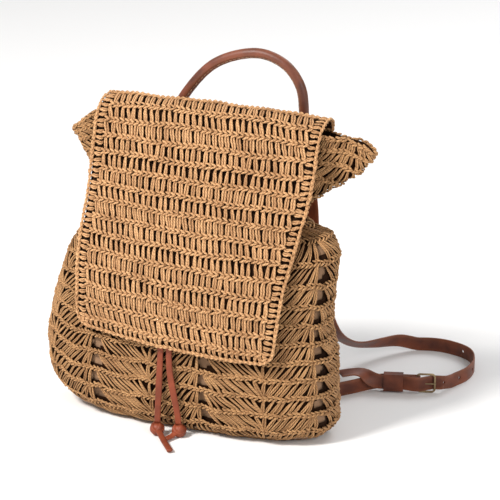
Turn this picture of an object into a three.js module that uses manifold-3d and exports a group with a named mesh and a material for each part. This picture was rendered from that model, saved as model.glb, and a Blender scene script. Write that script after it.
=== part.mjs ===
// Crocheted straw backpack: a lined pouch with a gathered mouth, a fold-over flap, a rolled
// leather handle, a threaded drawstring with two knotted ends, and two buckled shoulder straps.
// Millimetres, +Z up, front towards -Y. The origin is the middle of the base, on the floor.
import * as THREE from "three";
import { mergeVertices } from "three/addons/utils/BufferGeometryUtils.js";
import Module from "manifold-3d";

const wasm = await Module();
wasm.setup();

// Sizes of the pouch
const bagWidth = 310;
const bagDepth = 108;
const bagHeight = 300;
const strawWall = 3;
const eyeletRows = 10;
const rowHeight = 18;
const firstRowHeight = 20; // where the lowest row of eyelets starts
const neckHeight = 214; // where the drawstring gathers the wall
const slotHeight = 9; // the gap in the wall that the drawstring passes
const gatherDepth = 4.4; // how far a gathered fold stands out or in at the neck
const ruffleRise = 17; // step between the rings of the ruffle above the neck
const shellCount = 6; // crochet shells around the pouch, with a line of eyelets beside each
const cellsPerShell = 8;

// Sizes of the lining
const liningWall = 1;
const liningGap = 0.9;
const liningStep = 3; // the lining takes every third column of the pouch

// Sizes of the flap
const flapWidth = 248;
const flapThickness = 3;
const flapLiningWall = 0.8;
const flapLiningInset = 9;
const flapCells = 8;
const flapSteps = 18;
const flapLiningCells = 6;
const flapClearance = 3.6; // in front of the pouch, for the laces under the flap

// Sizes of the leather
const leather = 2;
const strapWidth = 15;
const handleDiameter = 10;
const handleSpan = 139;
const handleRise = 93;
const handleShift = 11.5; // the handle sits this far right of the middle
const patchWidth = 30;
const patchHeight = 52;
const patchTop = 286;
const laceWidth = 6;
const laceThickness = 2;
const knotDiameter = 14;
const knotSquash = 0.82; // a knot's height, as a share of its width
const holeDiameter = 3.2;
const holeSpacing = 27;
const holeCount = 5;

// Sizes of the buckles
const buckleLength = 18;
const buckleHeight = 21;
const buckleWire = 2.2;
const prongDiameter = 1.6;
const keeperLength = 20;
const keeperPlace = 14; // from the buckle's bar to the keeper
const keeperWall = 1.3;
const foldBack = 26; // the short strap's end, turned round the buckle's bar and sewn down

const seat = 0.3; // gap between pieces that touch
const columns = shellCount * cellsPerShell;
const halfWidth = bagWidth / 2;
const halfDepth = bagDepth / 2;

// One row for each section of the pouch, from the base to the rim. level and the lifts are shares
// of bagHeight, left and right of halfWidth, front and back (a place on Y) of halfDepth, and
// gather of gatherDepth. square is the power of the outline: 2 is an ellipse. A lift raises the
// outline's end above its middle, and sag lowers its middle.
const pouchSections = [
  {
    level: 0.0, liftLeft: 0, liftRight: 0, left: 0.76, right: 0.84,
    front: -0.75, back: 0.8, square: 2.5, gather: 0, sag: 0,
  },
  {
    level: 0.018, liftLeft: 0.045, liftRight: 0.006, left: 0.91, right: 0.915,
    front: -0.91, back: 0.92, square: 2.6, gather: 0, sag: 0,
  },
  {
    level: 0.067, liftLeft: 0.07, liftRight: 0.01, left: 1.01, right: 0.955,
    front: -1.02, back: 0.98, square: 2.8, gather: 0, sag: 0,
  },
  {
    level: 0.15, liftLeft: 0.06, liftRight: 0.006, left: 1.03, right: 0.95,
    front: -1.05, back: 1.0, square: 2.8, gather: 0, sag: 0,
  },
  {
    level: 0.267, liftLeft: 0.04, liftRight: 0, left: 1.01, right: 0.935,
    front: -1.03, back: 1.0, square: 2.8, gather: 0, sag: 0,
  },
  {
    level: 0.4, liftLeft: 0.02, liftRight: -0.006, left: 0.965, right: 0.9,
    front: -0.96, back: 0.99, square: 2.7, gather: 0, sag: 0,
  },
  {
    level: 0.5, liftLeft: 0, liftRight: 0, left: 0.92, right: 0.92,
    front: -0.84, back: 0.98, square: 2.6, gather: 0.05, sag: 0,
  },
  {
    level: 0.583, liftLeft: -0.006, liftRight: 0.02, left: 0.85, right: 0.93,
    front: -0.64, back: 0.96, square: 2.5, gather: 0.15, sag: 0,
  },
  {
    level: 0.64, liftLeft: -0.013, liftRight: 0.027, left: 0.76, right: 0.87,
    front: -0.4, back: 0.94, square: 2.4, gather: 0.35, sag: 0,
  },
  {
    level: 0.68, liftLeft: -0.02, liftRight: 0.003, left: 0.67, right: 0.72,
    front: -0.1, back: 0.92, square: 2.2, gather: 0.75, sag: 0,
  },
  {
    level: 0.713, liftLeft: -0.02, liftRight: -0.004, left: 0.615, right: 0.625,
    front: 0.13, back: 0.9, square: 2.1, gather: 1, sag: 0,
  },
  {
    level: 0.76, liftLeft: -0.02, liftRight: -0.01, left: 0.73, right: 0.66,
    front: 0.24, back: 0.93, square: 2, gather: 0.95, sag: 0,
  },
  {
    level: 0.817, liftLeft: -0.02, liftRight: -0.025, left: 0.87, right: 0.78,
    front: 0.36, back: 0.96, square: 2, gather: 0.7, sag: 0.01,
  },
  {
    level: 0.907, liftLeft: -0.053, liftRight: -0.03, left: 0.965, right: 1.01,
    front: 0.48, back: 0.97, square: 2, gather: 0.5, sag: 0.025,
  },
  {
    level: 1.0, liftLeft: -0.11, liftRight: -0.063, left: 1.0, right: 1.09,
    front: 0.52, back: 0.98, square: 2, gather: 0.55, sag: 0.045,
  },
];
const liftPower = 6;

// One row for each station of the flap's inside, from its sewn root behind the pouch, over the
// mouth and down the front. up is a share of bagHeight, place (on Y) and sweep (how far the side
// edges stand back) of halfDepth, wide of flapWidth, drop (of both side edges) and tilt (down to
// the right, up to the left) of bagHeight, and clear of flapClearance. place null lies against
// the pouch's back.
const flapStations = [
  { up: 0.855, place: null, wide: 0.92, sweep: 0, drop: 0, tilt: 0, clear: 0 },
  { up: 0.925, place: null, wide: 0.94, sweep: 0, drop: 0, tilt: 0, clear: 0 },
  { up: 0.985, place: null, wide: 0.955, sweep: 0, drop: 0.004, tilt: 0, clear: 0 },
  { up: 1.013, place: 0.88, wide: 0.96, sweep: 0.02, drop: 0.008, tilt: 0, clear: 0.2 },
  { up: 1.003, place: 0.64, wide: 0.965, sweep: 0.02, drop: 0.01, tilt: 0, clear: 0.5 },
  { up: 0.955, place: 0.43, wide: 0.97, sweep: 0.05, drop: 0.008, tilt: 0, clear: 1 },
  { up: 0.862, place: 0.2, wide: 0.965, sweep: 0.11, drop: 0, tilt: 0.002, clear: 1 },
  { up: 0.758, place: -0.08, wide: 0.945, sweep: 0.16, drop: 0, tilt: 0.005, clear: 1 },
  { up: 0.658, place: -0.43, wide: 0.92, sweep: 0.2, drop: 0, tilt: 0.008, clear: 1 },
  { up: 0.573, place: -0.73, wide: 0.9, sweep: 0.22, drop: 0, tilt: 0.011, clear: 1 },
  { up: 0.483, place: -0.93, wide: 0.88, sweep: 0.2, drop: 0, tilt: 0.014, clear: 1 },
  { up: 0.388, place: -1.01, wide: 0.86, sweep: 0.18, drop: 0, tilt: 0.017, clear: 1 },
  { up: 0.298, place: -1.05, wide: 0.84, sweep: 0.18, drop: -0.006, tilt: 0.02, clear: 1 },
];
const flapSweepPower = 2;

// The handle's arch, which leans right: along is a share of handleSpan, rise of handleRise.
const handleArch = [
  { along: -0.5, rise: 0 },
  { along: -0.485, rise: 0.28 },
  { along: -0.38, rise: 0.55 },
  { along: -0.2, rise: 0.83 },
  { along: 0.02, rise: 0.975 },
  { along: 0.2, rise: 1.0 },
  { along: 0.37, rise: 0.9 },
  { along: 0.475, rise: 0.7 },
  { along: 0.505, rise: 0.45 },
  { along: 0.5, rise: 0 },
];

// Where each shoulder strap runs. Places are measured from the middle of the back, in shares of
// strapReach; face is the way its outer side looks. up null means that it stands on the floor.
const strapReach = 200;
const rightStrap = {
  name: "right",
  topX: 91,
  handleX: 81,
  buckle: { x: 178, back: 87 },
  heading: new THREE.Vector2(0.944, 0.33),
  hang: [
    { x: 0.455, back: 0.07, up: 0.72, face: [0, 1, 0] },
    { x: 0.455, back: 0.105, up: 0.53, face: [0, 0.98, 0.2] },
    { x: 0.457, back: 0.22, up: 0.35, face: [0, 0.85, 0.5] },
    { x: 0.46, back: 0.37, up: 0.2, face: [-0.08, 0.6, 0.8] },
    { x: 0.47, back: 0.52, up: 0.125, face: [-0.2, 0.45, 0.87] },
    { x: 0.492, back: 0.65, up: 0.085, face: [-0.45, 0.45, 0.75] },
    { x: 0.54, back: 0.79, up: 0.063, face: [-0.65, 0.55, 0.5] },
    { x: 0.607, back: 0.91, up: 0.05, face: [-0.6, 0.75, 0.25] },
    { x: 0.69, back: 0.985, up: null, face: [-0.4, 0.9, 0.08] },
    { x: 0.815, back: 1.015, up: null, face: [0.05, 1, 0] },
    { x: 0.975, back: 0.96, up: null, face: [0.65, 0.76, 0] },
    { x: 1.05, back: 0.84, up: null, face: [0.97, 0.25, 0] },
    { x: 1.065, back: 0.7, up: null, face: [0.99, -0.15, 0] },
    { x: 1.03, back: 0.575, up: null, face: [0.85, -0.52, 0] },
  ],
  tail: [
    { along: -46, out: 3.6, up: 14.5, lean: 0.6 },
    { along: -55, out: 1.5, up: 19.5, lean: 1.25 },
    { along: -64, out: 2.5, up: 21, lean: 1.5 },
    { along: -78, out: 9, up: 21, lean: 1.5 },
  ],
  anchor: [
    { x: 0.25, back: null, up: 0.085 },
    { x: 0.34, back: null, up: 0.08 },
    { x: 0.42, back: 0.045, up: null },
    { x: 0.5, back: 0.15, up: null },
    { x: 0.59, back: 0.27, up: null },
  ],
};
const leftStrap = {
  name: "left",
  topX: -64,
  handleX: -58,
  buckle: { x: -128, back: 84 },
  heading: new THREE.Vector2(-0.6, 0.8),
  hang: [
    { x: -0.32, back: 0.07, up: 0.72, face: [0, 1, 0] },
    { x: -0.315, back: 0.105, up: 0.53, face: [0, 0.98, 0.2] },
    { x: -0.305, back: 0.2, up: 0.36, face: [0, 0.85, 0.5] },
    { x: -0.29, back: 0.33, up: 0.225, face: [0.08, 0.6, 0.8] },
    { x: -0.275, back: 0.46, up: 0.145, face: [0.2, 0.4, 0.88] },
    { x: -0.28, back: 0.58, up: 0.11, face: [0.45, 0.35, 0.8] },
    { x: -0.31, back: 0.69, up: 0.085, face: [0.65, 0.45, 0.5] },
    { x: -0.365, back: 0.79, up: null, face: [0.55, 0.75, 0.2] },
    { x: -0.46, back: 0.86, up: null, face: [0.3, 0.95, 0] },
    { x: -0.58, back: 0.88, up: null, face: [-0.1, 1, 0] },
    { x: -0.7, back: 0.82, up: null, face: [-0.7, 0.7, 0] },
    { x: -0.755, back: 0.71, up: null, face: [-0.98, 0.1, 0] },
    { x: -0.75, back: 0.6, up: null, face: [-0.95, -0.3, 0] },
  ],
  tail: [
    { along: -46, out: 3.6, up: 14.5, lean: 0.6 },
    { along: -55, out: 1.5, up: 19.5, lean: 1.25 },
    { along: -62, out: 2.5, up: 21, lean: 1.5 },
    { along: -70, out: 4, up: 21, lean: 1.5 },
  ],
  anchor: [
    { x: -0.2, back: null, up: 0.085 },
    { x: -0.29, back: null, up: 0.08 },
    { x: -0.365, back: 0.055, up: null },
    { x: -0.42, back: 0.13, up: null },
    { x: -0.465, back: 0.22, up: null },
  ],
};

// Where the two free lace ends run, from the neck, under the flap, to the floor in front.
const leftLace = {
  name: "left",
  route: [
    [-13.5, 4.5, 212],
    [-13.5, -6, 205],
    [-13.5, -23.5, 193],
    [-13, -35.8, 178],
    [-12.7, -42.2, 165.9],
    [-12.5, -47.6, 152],
    [-12.3, -52, 133.5],
    [-12, -55.2, 115],
    [-11.7, -57.1, 102.2],
    [-11.5, -58.6, 90],
    [-11.4, -60.1, 77.5],
    [-11.5, -61.5, 65],
    [-11.7, -62.6, 52.2],
    [-12, -63.5, 40],
    [-12.5, -64.5, 24],
    [-12.5, -65.5, 12.3],
  ],
  tailEnd: [19.5, -102, 3],
};
const rightLace = {
  name: "right",
  route: [
    [22, 4.5, 212],
    [21.5, -7, 205],
    [19.9, -16.3, 199.5],
    [17.5, -25.2, 193],
    [12, -36.4, 178],
    [8.4, -42.6, 165.9],
    [5, -47.9, 152],
    [1.9, -52.2, 133.6],
    [-0.5, -55.2, 115],
    [-1.9, -57.1, 102.3],
    [-2.5, -58.6, 90],
    [-1.7, -60.2, 75.8],
    [0, -61.5, 62],
    [4.5, -63, 42],
    [7.5, -62.5, 26],
    [8.5, -61.5, 12.3],
  ],
  tailEnd: [3, -79, 3],
};

// Looks of each material.
const straw = new THREE.MeshStandardMaterial({ color: 0xc39a6b, roughness: 0.85 });
const cloth = new THREE.MeshStandardMaterial({ color: 0xa98260, roughness: 0.95 });
const tan = new THREE.MeshStandardMaterial({ color: 0x6e2f1c, roughness: 0.5 });
const thong = new THREE.MeshStandardMaterial({ color: 0x8a4028, roughness: 0.6 });
const brass = new THREE.MeshStandardMaterial({ color: 0x7a6a50, roughness: 0.35, metalness: 0.9 });

const backpack = new THREE.Group();

function add(name, geometry, material) {
  const mesh = new THREE.Mesh(geometry, material);
  mesh.name = name;
  backpack.add(mesh);
}

// A value of a table between its rows, on a smooth curve through them.
function between(rows, key, value, column) {
  let i = 0;
  while (i < rows.length - 2 && value > rows[i + 1][key]) i += 1;
  const low = rows[i];
  const high = rows[i + 1];
  const step = high[key] - low[key];
  const t = Math.min(1, Math.max(0, (value - low[key]) / step));
  const slopeAt = (j) => {
    if (j <= 0 || j >= rows.length - 1) return 0;
    const before = (rows[j][column] - rows[j - 1][column]) / (rows[j][key] - rows[j - 1][key]);
    const after = (rows[j + 1][column] - rows[j][column]) / (rows[j + 1][key] - rows[j][key]);
    return before * after <= 0 ? 0 : (2 * before * after) / (before + after);
  };
  const t2 = t * t;
  const t3 = t2 * t;
  return (
    (2 * t3 - 3 * t2 + 1) * low[column] +
    (t3 - 2 * t2 + t) * step * slopeAt(i) +
    (3 * t2 - 2 * t3) * high[column] +
    (t3 - t2) * step * slopeAt(i + 1)
  );
}

// The outline of the pouch at a height, in millimetres.
function pouchSection(height) {
  const at = (column) => between(pouchSections, "level", height / bagHeight, column);
  const front = at("front") * halfDepth;
  const back = at("back") * halfDepth;
  return {
    height,
    liftLeft: at("liftLeft") * bagHeight,
    liftRight: at("liftRight") * bagHeight,
    left: at("left") * halfWidth,
    right: at("right") * halfWidth,
    middle: (front + back) / 2,
    half: (back - front) / 2,
    power: 2 / at("square"),
    gather: at("gather") * gatherDepth,
    sag: at("sag") * bagHeight,
  };
}

// Points of half an outline, evenly spaced: from the right end round the back to the left end,
// or with side -1 from the left end round the front to the right end.
function halfOutline(section, side, count) {
  const samples = 240;
  const points = [];
  for (let i = 0; i <= samples; i += 1) {
    const angle = (Math.PI * i) / samples + (side < 0 ? Math.PI : 0);
    const across = Math.cos(angle);
    const deep = Math.sin(angle);
    const reach = across > 0 ? section.right : section.left;
    const x = Math.sign(across) * reach * Math.abs(across) ** section.power;
    const y = section.middle + Math.sign(deep) * section.half * Math.abs(deep) ** section.power;
    points.push(new THREE.Vector2(x, y));
  }
  const lengths = [0];
  for (let i = 1; i <= samples; i += 1) {
    lengths.push(lengths[i - 1] + points[i].distanceTo(points[i - 1]));
  }
  const even = [];
  let j = 0;
  for (let i = 0; i < count; i += 1) {
    const target = (lengths[samples] * i) / count;
    while (lengths[j + 1] < target) j += 1;
    const t = (target - lengths[j]) / (lengths[j + 1] - lengths[j]);
    even.push(points[j].clone().lerp(points[j + 1], t));
  }
  return even;
}

// +1 where a gathered fold stands out and -1 where it stands in, two columns of each in turn.
function foldAt(column) {
  return column % 4 < 2 ? 1 : -1;
}

// One ring of the pouch's outer face, gathered by share of its full gathers.
function pouchRing(height, gatherShare) {
  const section = pouchSection(height);
  const plan = [
    ...halfOutline(section, 1, columns / 2),
    ...halfOutline(section, -1, columns / 2),
  ];
  return plan.map((point, i) => {
    const before = plan[(i + columns - 1) % columns];
    const after = plan[(i + 1) % columns];
    const outward = new THREE.Vector2(after.y - before.y, before.x - after.x).normalize();
    const share = point.x > 0 ? point.x / section.right : -point.x / section.left;
    const lift = point.x > 0 ? section.liftRight : section.liftLeft;
    const fold = section.gather * gatherShare * foldAt(i);
    const flat = 1 - Math.min(1, share * share);
    return new THREE.Vector3(
      point.x + outward.x * fold,
      point.y + outward.y * fold,
      height + lift * share ** liftPower - section.sag * flat * flat,
    );
  });
}

// The outward direction at each point of a stack of rings, of which the lowest turns underneath.
function ringNormals(rings) {
  return rings.map((ring, level) =>
    ring.map((point, i) => {
      const around = ring[(i + 1) % ring.length].clone().sub(ring[(i + ring.length - 1) % ring.length]);
      const above = rings[Math.min(level + 1, rings.length - 1)][i];
      const below = rings[Math.max(level - 1, 0)][i];
      const normal = around.cross(above.clone().sub(below)).normalize();
      if (level === 0) normal.add(new THREE.Vector3(0, 0, -1.6)).normalize();
      return normal;
    }),
  );
}

function inset(rings, depths) {
  const normals = ringNormals(rings);
  return rings.map((ring, level) =>
    ring.map((point, i) => point.clone().addScaledVector(normals[level][i], -depths[level])),
  );
}

// A closed shell between two stacks of rings, shut at the foot, open at the top. isOpen says
// which cells are cut right through.
function shell(outer, inner, isOpen) {
  const count = outer[0].length;
  const vertices = [];
  const faces = [];
  const put = (stack) => stack.map((ring) => ring.map((point) => vertices.push(point) - 1));
  const out = put(outer);
  const inn = put(inner);
  const quad = (a, b, c, d) => faces.push([a, b, c], [a, c, d]);
  const next = (i) => (i + 1) % count;
  for (let level = 0; level < outer.length - 1; level += 1) {
    for (let i = 0; i < count; i += 1) {
      const j = next(i);
      if (!isOpen(level, i)) {
        quad(out[level][i], out[level][j], out[level + 1][j], out[level + 1][i]);
        quad(inn[level][i], inn[level + 1][i], inn[level + 1][j], inn[level][j]);
        continue;
      }
      quad(out[level][i], out[level][j], inn[level][j], inn[level][i]);
      quad(out[level + 1][j], out[level + 1][i], inn[level + 1][i], inn[level + 1][j]);
      quad(out[level + 1][i], out[level][i], inn[level][i], inn[level + 1][i]);
      quad(out[level][j], out[level + 1][j], inn[level + 1][j], inn[level][j]);
    }
  }
  const top = outer.length - 1;
  const middleOf = (ring) => {
    const middle = ring.reduce((sum, point) => sum.add(point), new THREE.Vector3());
    return new THREE.Vector3(0, middle.y / ring.length, ring[0].z);
  };
  const footOut = vertices.push(middleOf(outer[0])) - 1;
  const footIn = vertices.push(middleOf(inner[0])) - 1;
  for (let i = 0; i < count; i += 1) {
    const j = next(i);
    quad(out[top][i], out[top][j], inn[top][j], inn[top][i]);
    faces.push([out[0][j], out[0][i], footOut], [inn[0][i], inn[0][j], footIn]);
  }
  return meshOf(vertices, faces);
}

function meshOf(vertices, faces) {
  const positions = new Float32Array(vertices.flatMap((p) => [p.x, p.y, p.z]));
  const geometry = new THREE.BufferGeometry();
  geometry.setAttribute("position", new THREE.BufferAttribute(positions, 3));
  geometry.setIndex(faces.flat());
  return geometry;
}

// A closed sheet between an outer and an inner grid of points of the same size.
function sheet(outer, inner) {
  const rows = outer.length;
  const across = outer[0].length;
  const vertices = [...outer.flat(), ...inner.flat()];
  const faces = [];
  const quad = (a, b, c, d) => faces.push([a, b, c], [a, c, d]);
  const out = (row, i) => row * across + i;
  const inn = (row, i) => rows * across + row * across + i;
  for (let row = 0; row < rows - 1; row += 1) {
    for (let i = 0; i < across - 1; i += 1) {
      quad(out(row, i), out(row, i + 1), out(row + 1, i + 1), out(row + 1, i));
      quad(inn(row, i), inn(row + 1, i), inn(row + 1, i + 1), inn(row, i + 1));
    }
    quad(out(row, 0), out(row + 1, 0), inn(row + 1, 0), inn(row, 0));
    quad(out(row + 1, across - 1), out(row, across - 1), inn(row, across - 1), inn(row + 1, across - 1));
  }
  for (let i = 0; i < across - 1; i += 1) {
    quad(out(0, i + 1), out(0, i), inn(0, i), inn(0, i + 1));
    quad(out(rows - 1, i), out(rows - 1, i + 1), inn(rows - 1, i + 1), inn(rows - 1, i));
  }
  return meshOf(vertices, faces);
}

function toSolid(geometry) {
  const bare = geometry.index ? geometry.toNonIndexed() : geometry.clone();
  bare.deleteAttribute("normal");
  bare.deleteAttribute("uv");
  const merged = mergeVertices(bare, 1e-3);
  return new wasm.Manifold(
    new wasm.Mesh({
      numProp: 3,
      vertProperties: merged.attributes.position.array,
      triVerts: new Uint32Array(merged.index.array),
    }),
  );
}

function fromSolid(solid) {
  const mesh = solid.getMesh();
  const geometry = new THREE.BufferGeometry();
  geometry.setAttribute("position", new THREE.BufferAttribute(mesh.vertProperties, 3));
  geometry.setIndex(new THREE.BufferAttribute(mesh.triVerts, 1));
  return geometry;
}

// The heights of the pouch's rings: the base, two bands to each row of eyelets, then the neck's
// slots and the ruffle up to the rim.
function pouchHeights() {
  const heights = [0, 0.018 * bagHeight];
  const band = rowHeight / 2;
  for (let i = 0; i <= eyeletRows * 2 - 1; i += 1) heights.push(firstRowHeight + band * i);
  heights.push(neckHeight - slotHeight / 2 - 7, neckHeight - slotHeight / 2, neckHeight + slotHeight / 2);
  for (let z = neckHeight + slotHeight / 2 + ruffleRise; z < bagHeight - 4; z += ruffleRise) heights.push(z);
  heights.push(bagHeight);
  return heights;
}

const heights = pouchHeights();
const pouchRings = heights.map((height) => pouchRing(height, 1));

// Eyelets stand in lines, one cell wide and one band high. At the neck, the cells between a fold
// that stands out and one that stands in are open too, for the drawstring.
function isOpen(level, cell) {
  const height = heights[level];
  const band = rowHeight / 2;
  if (height === neckHeight - slotHeight / 2) return foldAt(cell) !== foldAt(cell + 1);
  const row = Math.round((height - firstRowHeight) / band);
  const inRows = height >= firstRowHeight && height < firstRowHeight + band * (2 * eyeletRows - 1);
  return inRows && row % 2 === 0 && (columns - 1 - cell) % cellsPerShell === 1;
}

function buildPouch() {
  const inner = inset(pouchRings, heights.map(() => strawWall));
  inner[0].forEach((point) => {
    point.z = strawWall;
  });
  add("straw_pouch", shell(pouchRings, inner, isOpen), straw);
}

// The lining lies inside the folds: it clears how far they stand in.
function buildLining() {
  const lastRing = heights.filter((height) => height < neckHeight - slotHeight).length - 1;
  const kept = heights.map((_, i) => i).filter((i) => i <= lastRing && (i < 2 || (lastRing - i) % 2 === 0));
  const depths = heights.map((height) => strawWall + liningGap + pouchSection(height).gather);
  const smooth = heights.map((height) => pouchRing(height, 0));
  const everyThird = (ring) => ring.filter((_, i) => i % liningStep === 0);
  const pick = (stack) => kept.map((i) => everyThird(stack[i]));
  const outer = pick(inset(smooth, depths));
  const inner = pick(inset(smooth, depths.map((depth) => depth + liningWall)));
  outer[0].forEach((point) => {
    point.z = strawWall + seat;
  });
  inner[0].forEach((point) => {
    point.z = strawWall + seat + liningWall;
  });
  add("pouch_lining", shell(outer, inner, () => false), cloth);
}

// How far back the pouch's folds reach at a height.
function backReach(height) {
  return Math.max(...pouchRing(height, 1).map((point) => point.y));
}

const flapRows = flapStations.map((row, i) => {
  const place = row.place === null ? (backReach(row.up * bagHeight) + 2 * seat) / halfDepth : row.place;
  return { ...row, place, i };
});

// The flap's inside: station is a place along flapRows, and side runs from -1 to 1.
function flapPoint(station, side) {
  const at = (column) => between(flapRows, "i", station, column);
  const edge = Math.abs(side) ** flapSweepPower;
  return new THREE.Vector3(
    (side * at("wide") * flapWidth) / 2,
    (at("place") + at("sweep") * edge) * halfDepth,
    (at("up") - at("drop") * edge - at("tilt") * side) * bagHeight,
  );
}

// A grid of points that stands off the flap's inside by a distance, all across but a margin.
function flapGrid(standOff, cells, margin, shares) {
  const step = 0.05;
  const last = flapRows.length - 1;
  return shares.map((share) => {
    const station = share * last;
    const sideLimit = 1 - margin / flapPoint(station, 1).x;
    const clear = between(flapRows, "i", station, "clear") * flapClearance;
    const row = [];
    for (let i = 0; i <= cells; i += 1) {
      const side = sideLimit * ((2 * i) / cells - 1);
      const below = flapPoint(Math.min(station + step, last), side);
      const along = below.sub(flapPoint(Math.max(station - step, 0), side));
      const across = flapPoint(station, side + step).sub(flapPoint(station, side - step));
      const normal = along.cross(across).normalize();
      row.push(flapPoint(station, side).addScaledVector(normal, clear + standOff));
    }
    return row;
  });
}

const flapSeat = flapLiningWall + seat; // the flap's own thickness starts here

function buildFlap() {
  const shares = Array.from({ length: flapSteps + 1 }, (_, i) => i / flapSteps);
  const inner = flapGrid(flapSeat, flapCells, 0, shares);
  const outer = flapGrid(flapSeat + flapThickness, flapCells, 0, shares);
  add("straw_flap", sheet(inner, outer), straw);
  const inside = shares.slice(1, -1);
  const liningInner = flapGrid(0, flapLiningCells, flapLiningInset, inside);
  const liningOuter = flapGrid(flapLiningWall, flapLiningCells, flapLiningInset, inside);
  add("flap_lining", sheet(liningInner, liningOuter), cloth);
}

// A band or cord carried along stations { at, face }: section lists its corners as
// [across, out], where out is the way that it faces and across its width.
function carry(stations, section) {
  const vertices = [];
  const faces = [];
  const last = stations.length - 1;
  const count = section.length;
  stations.forEach((station, i) => {
    const tangent = stations[Math.min(i + 1, last)].at.clone().sub(stations[Math.max(i - 1, 0)].at);
    tangent.normalize();
    const across = tangent.clone().cross(station.face).normalize();
    const out = across.clone().cross(tangent);
    section.forEach(([a, b]) => {
      vertices.push(station.at.clone().addScaledVector(across, a).addScaledVector(out, b));
    });
  });
  for (let i = 0; i < last; i += 1) {
    for (let k = 0; k < count; k += 1) {
      const a = i * count + k;
      const b = i * count + ((k + 1) % count);
      faces.push([a, b, b + count], [a, b + count, a + count]);
    }
  }
  for (let k = 1; k < count - 1; k += 1) {
    faces.push([0, k + 1, k], [last * count, last * count + k, last * count + k + 1]);
  }
  return meshOf(vertices, faces);
}

function bandSection(width, thickness) {
  const w = width / 2;
  const t = thickness / 2;
  return [
    [-w, -t],
    [-w, t],
    [w, t],
    [w, -t],
  ];
}

// Stations at even steps on a smooth curve through the given ones.
function smoothStations(route, step) {
  const curve = new THREE.CatmullRomCurve3(route.map((r) => r.at), false, "centripetal");
  const count = Math.max(2, Math.round(curve.getLength() / step));
  const faces = new THREE.CatmullRomCurve3(route.map((r) => r.face), false, "catmullrom", 0.5);
  const stations = [];
  for (let i = 0; i <= count; i += 1) {
    const t = curve.getUtoTmapping(i / count);
    stations.push({ at: curve.getPoint(t), face: faces.getPoint(t).normalize() });
  }
  return stations;
}

// Lifts a standing band's stations so that no corner of it goes under the floor.
function keepAboveFloor(stations, width, thickness) {
  stations.forEach((station, i) => {
    const last = stations.length - 1;
    const tangent = stations[Math.min(i + 1, last)].at.clone().sub(stations[Math.max(i - 1, 0)].at);
    tangent.normalize();
    const across = tangent.clone().cross(station.face).normalize();
    const out = across.clone().cross(tangent);
    const low = station.at.z - (Math.abs(across.z) * width + Math.abs(out.z) * thickness) / 2;
    if (low < 0.1) station.at.z += 0.1 - low;
  });
  return stations;
}

// The pouch's back face at a place, found on its ring of that height.
function backFace(x, z) {
  const ring = pouchRing(z, 0);
  for (let i = 0; i < columns / 2; i += 1) {
    const a = ring[i];
    const b = ring[i + 1];
    if (a.x >= x && b.x <= x) return a.y + ((b.y - a.y) * (a.x - x)) / (a.x - b.x);
  }
  return 0;
}

const backY = (between(pouchSections, "level", 0.2, "back") * bagDepth) / 2;
const rootPlace = Math.max(...flapRows.slice(0, 3).map((row) => row.place)) * halfDepth;
const patchFace = rootPlace + flapSeat + flapThickness + seat + leather; // outer side of the patches

// The frame at a buckle: out is the way that it faces, along points away from the pouch.
function buckleFrame(strap) {
  const along = new THREE.Vector3(strap.heading.x, strap.heading.y, 0).normalize();
  const sign = strap.name === "right" ? 1 : -1;
  const out = new THREE.Vector3(along.y, -along.x, 0).multiplyScalar(sign);
  const at = new THREE.Vector3(strap.buckle.x, backY + strap.buckle.back, buckleHeight / 2 + seat);
  const place = (a, n, z) =>
    at.clone().addScaledVector(along, a).addScaledVector(out, n).setZ(z === undefined ? at.z : z);
  return { along, out, at, place };
}

const barRadius = buckleWire / 2;
const shortLine = barRadius * Math.SQRT2 + seat + leather / 2; // the short strap, off the bar's middle
const foldLine = -shortLine + leather + seat; // where its sewn-down end lies
const tailLine = foldLine + leather + seat;
const prongLine = barRadius + seat + prongDiameter / 2;
const prongLength = buckleLength + 1.5;

// The long strap hangs from its patch to the floor, goes straight through the buckle, in behind
// its far side and out over its bar, and its tail lies over the short strap.
function longStrapStations(strap) {
  const { out, place } = buckleFrame(strap);
  const y = patchFace + seat + leather / 2;
  const vector = (values) => new THREE.Vector3(...values);
  const sewn = [0.5, 0.8, 1.15].map((share) => ({
    at: new THREE.Vector3(strap.topX, y, patchTop - share * patchHeight),
    face: vector([0, 1, 0]),
  }));
  const hang = strap.hang.map((row) => {
    const up = row.up === null ? strapWidth / 2 : row.up * patchTop;
    return { at: vector([row.x * strapReach, backY + row.back * strapReach, up]), face: vector(row.face) };
  });
  const overBar = shortLine + leather + seat;
  const behind = -(barRadius + seat + leather / 2 + 0.2);
  const inside = buckleLength - barRadius;
  const buckled = [
    [buckleLength + 8, behind],
    [inside - 1.5, behind],
    [2.4, overBar],
    [-4, overBar],
    [-keeperPlace + 1, tailLine],
    [-keeperPlace - keeperLength / 2, tailLine],
    [-keeperPlace - keeperLength - 3, tailLine],
  ].map(([a, n]) => ({ at: place(a, n), face: out.clone() }));
  const tail = strap.tail.map((row) => {
    const face = out.clone().multiplyScalar(Math.cos(row.lean)).setZ(Math.sin(row.lean));
    return { at: place(row.along, row.out, row.up), face };
  });
  const first = smoothStations([...sewn, ...hang, buckled[0]], 13);
  const last = smoothStations([buckled.at(-1), ...tail], 8);
  return keepAboveFloor([...first, ...buckled.slice(1, -1), ...last], strapWidth, leather);
}

// A round cutter through a place, along a direction.
function borer(at, way, diameter, length) {
  const cutter = new THREE.CylinderGeometry(diameter / 2, diameter / 2, length, 6);
  cutter.applyQuaternion(new THREE.Quaternion().setFromUnitVectors(new THREE.Vector3(0, 1, 0), way));
  cutter.translate(at.x, at.y, at.z);
  return toSolid(cutter);
}

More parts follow.
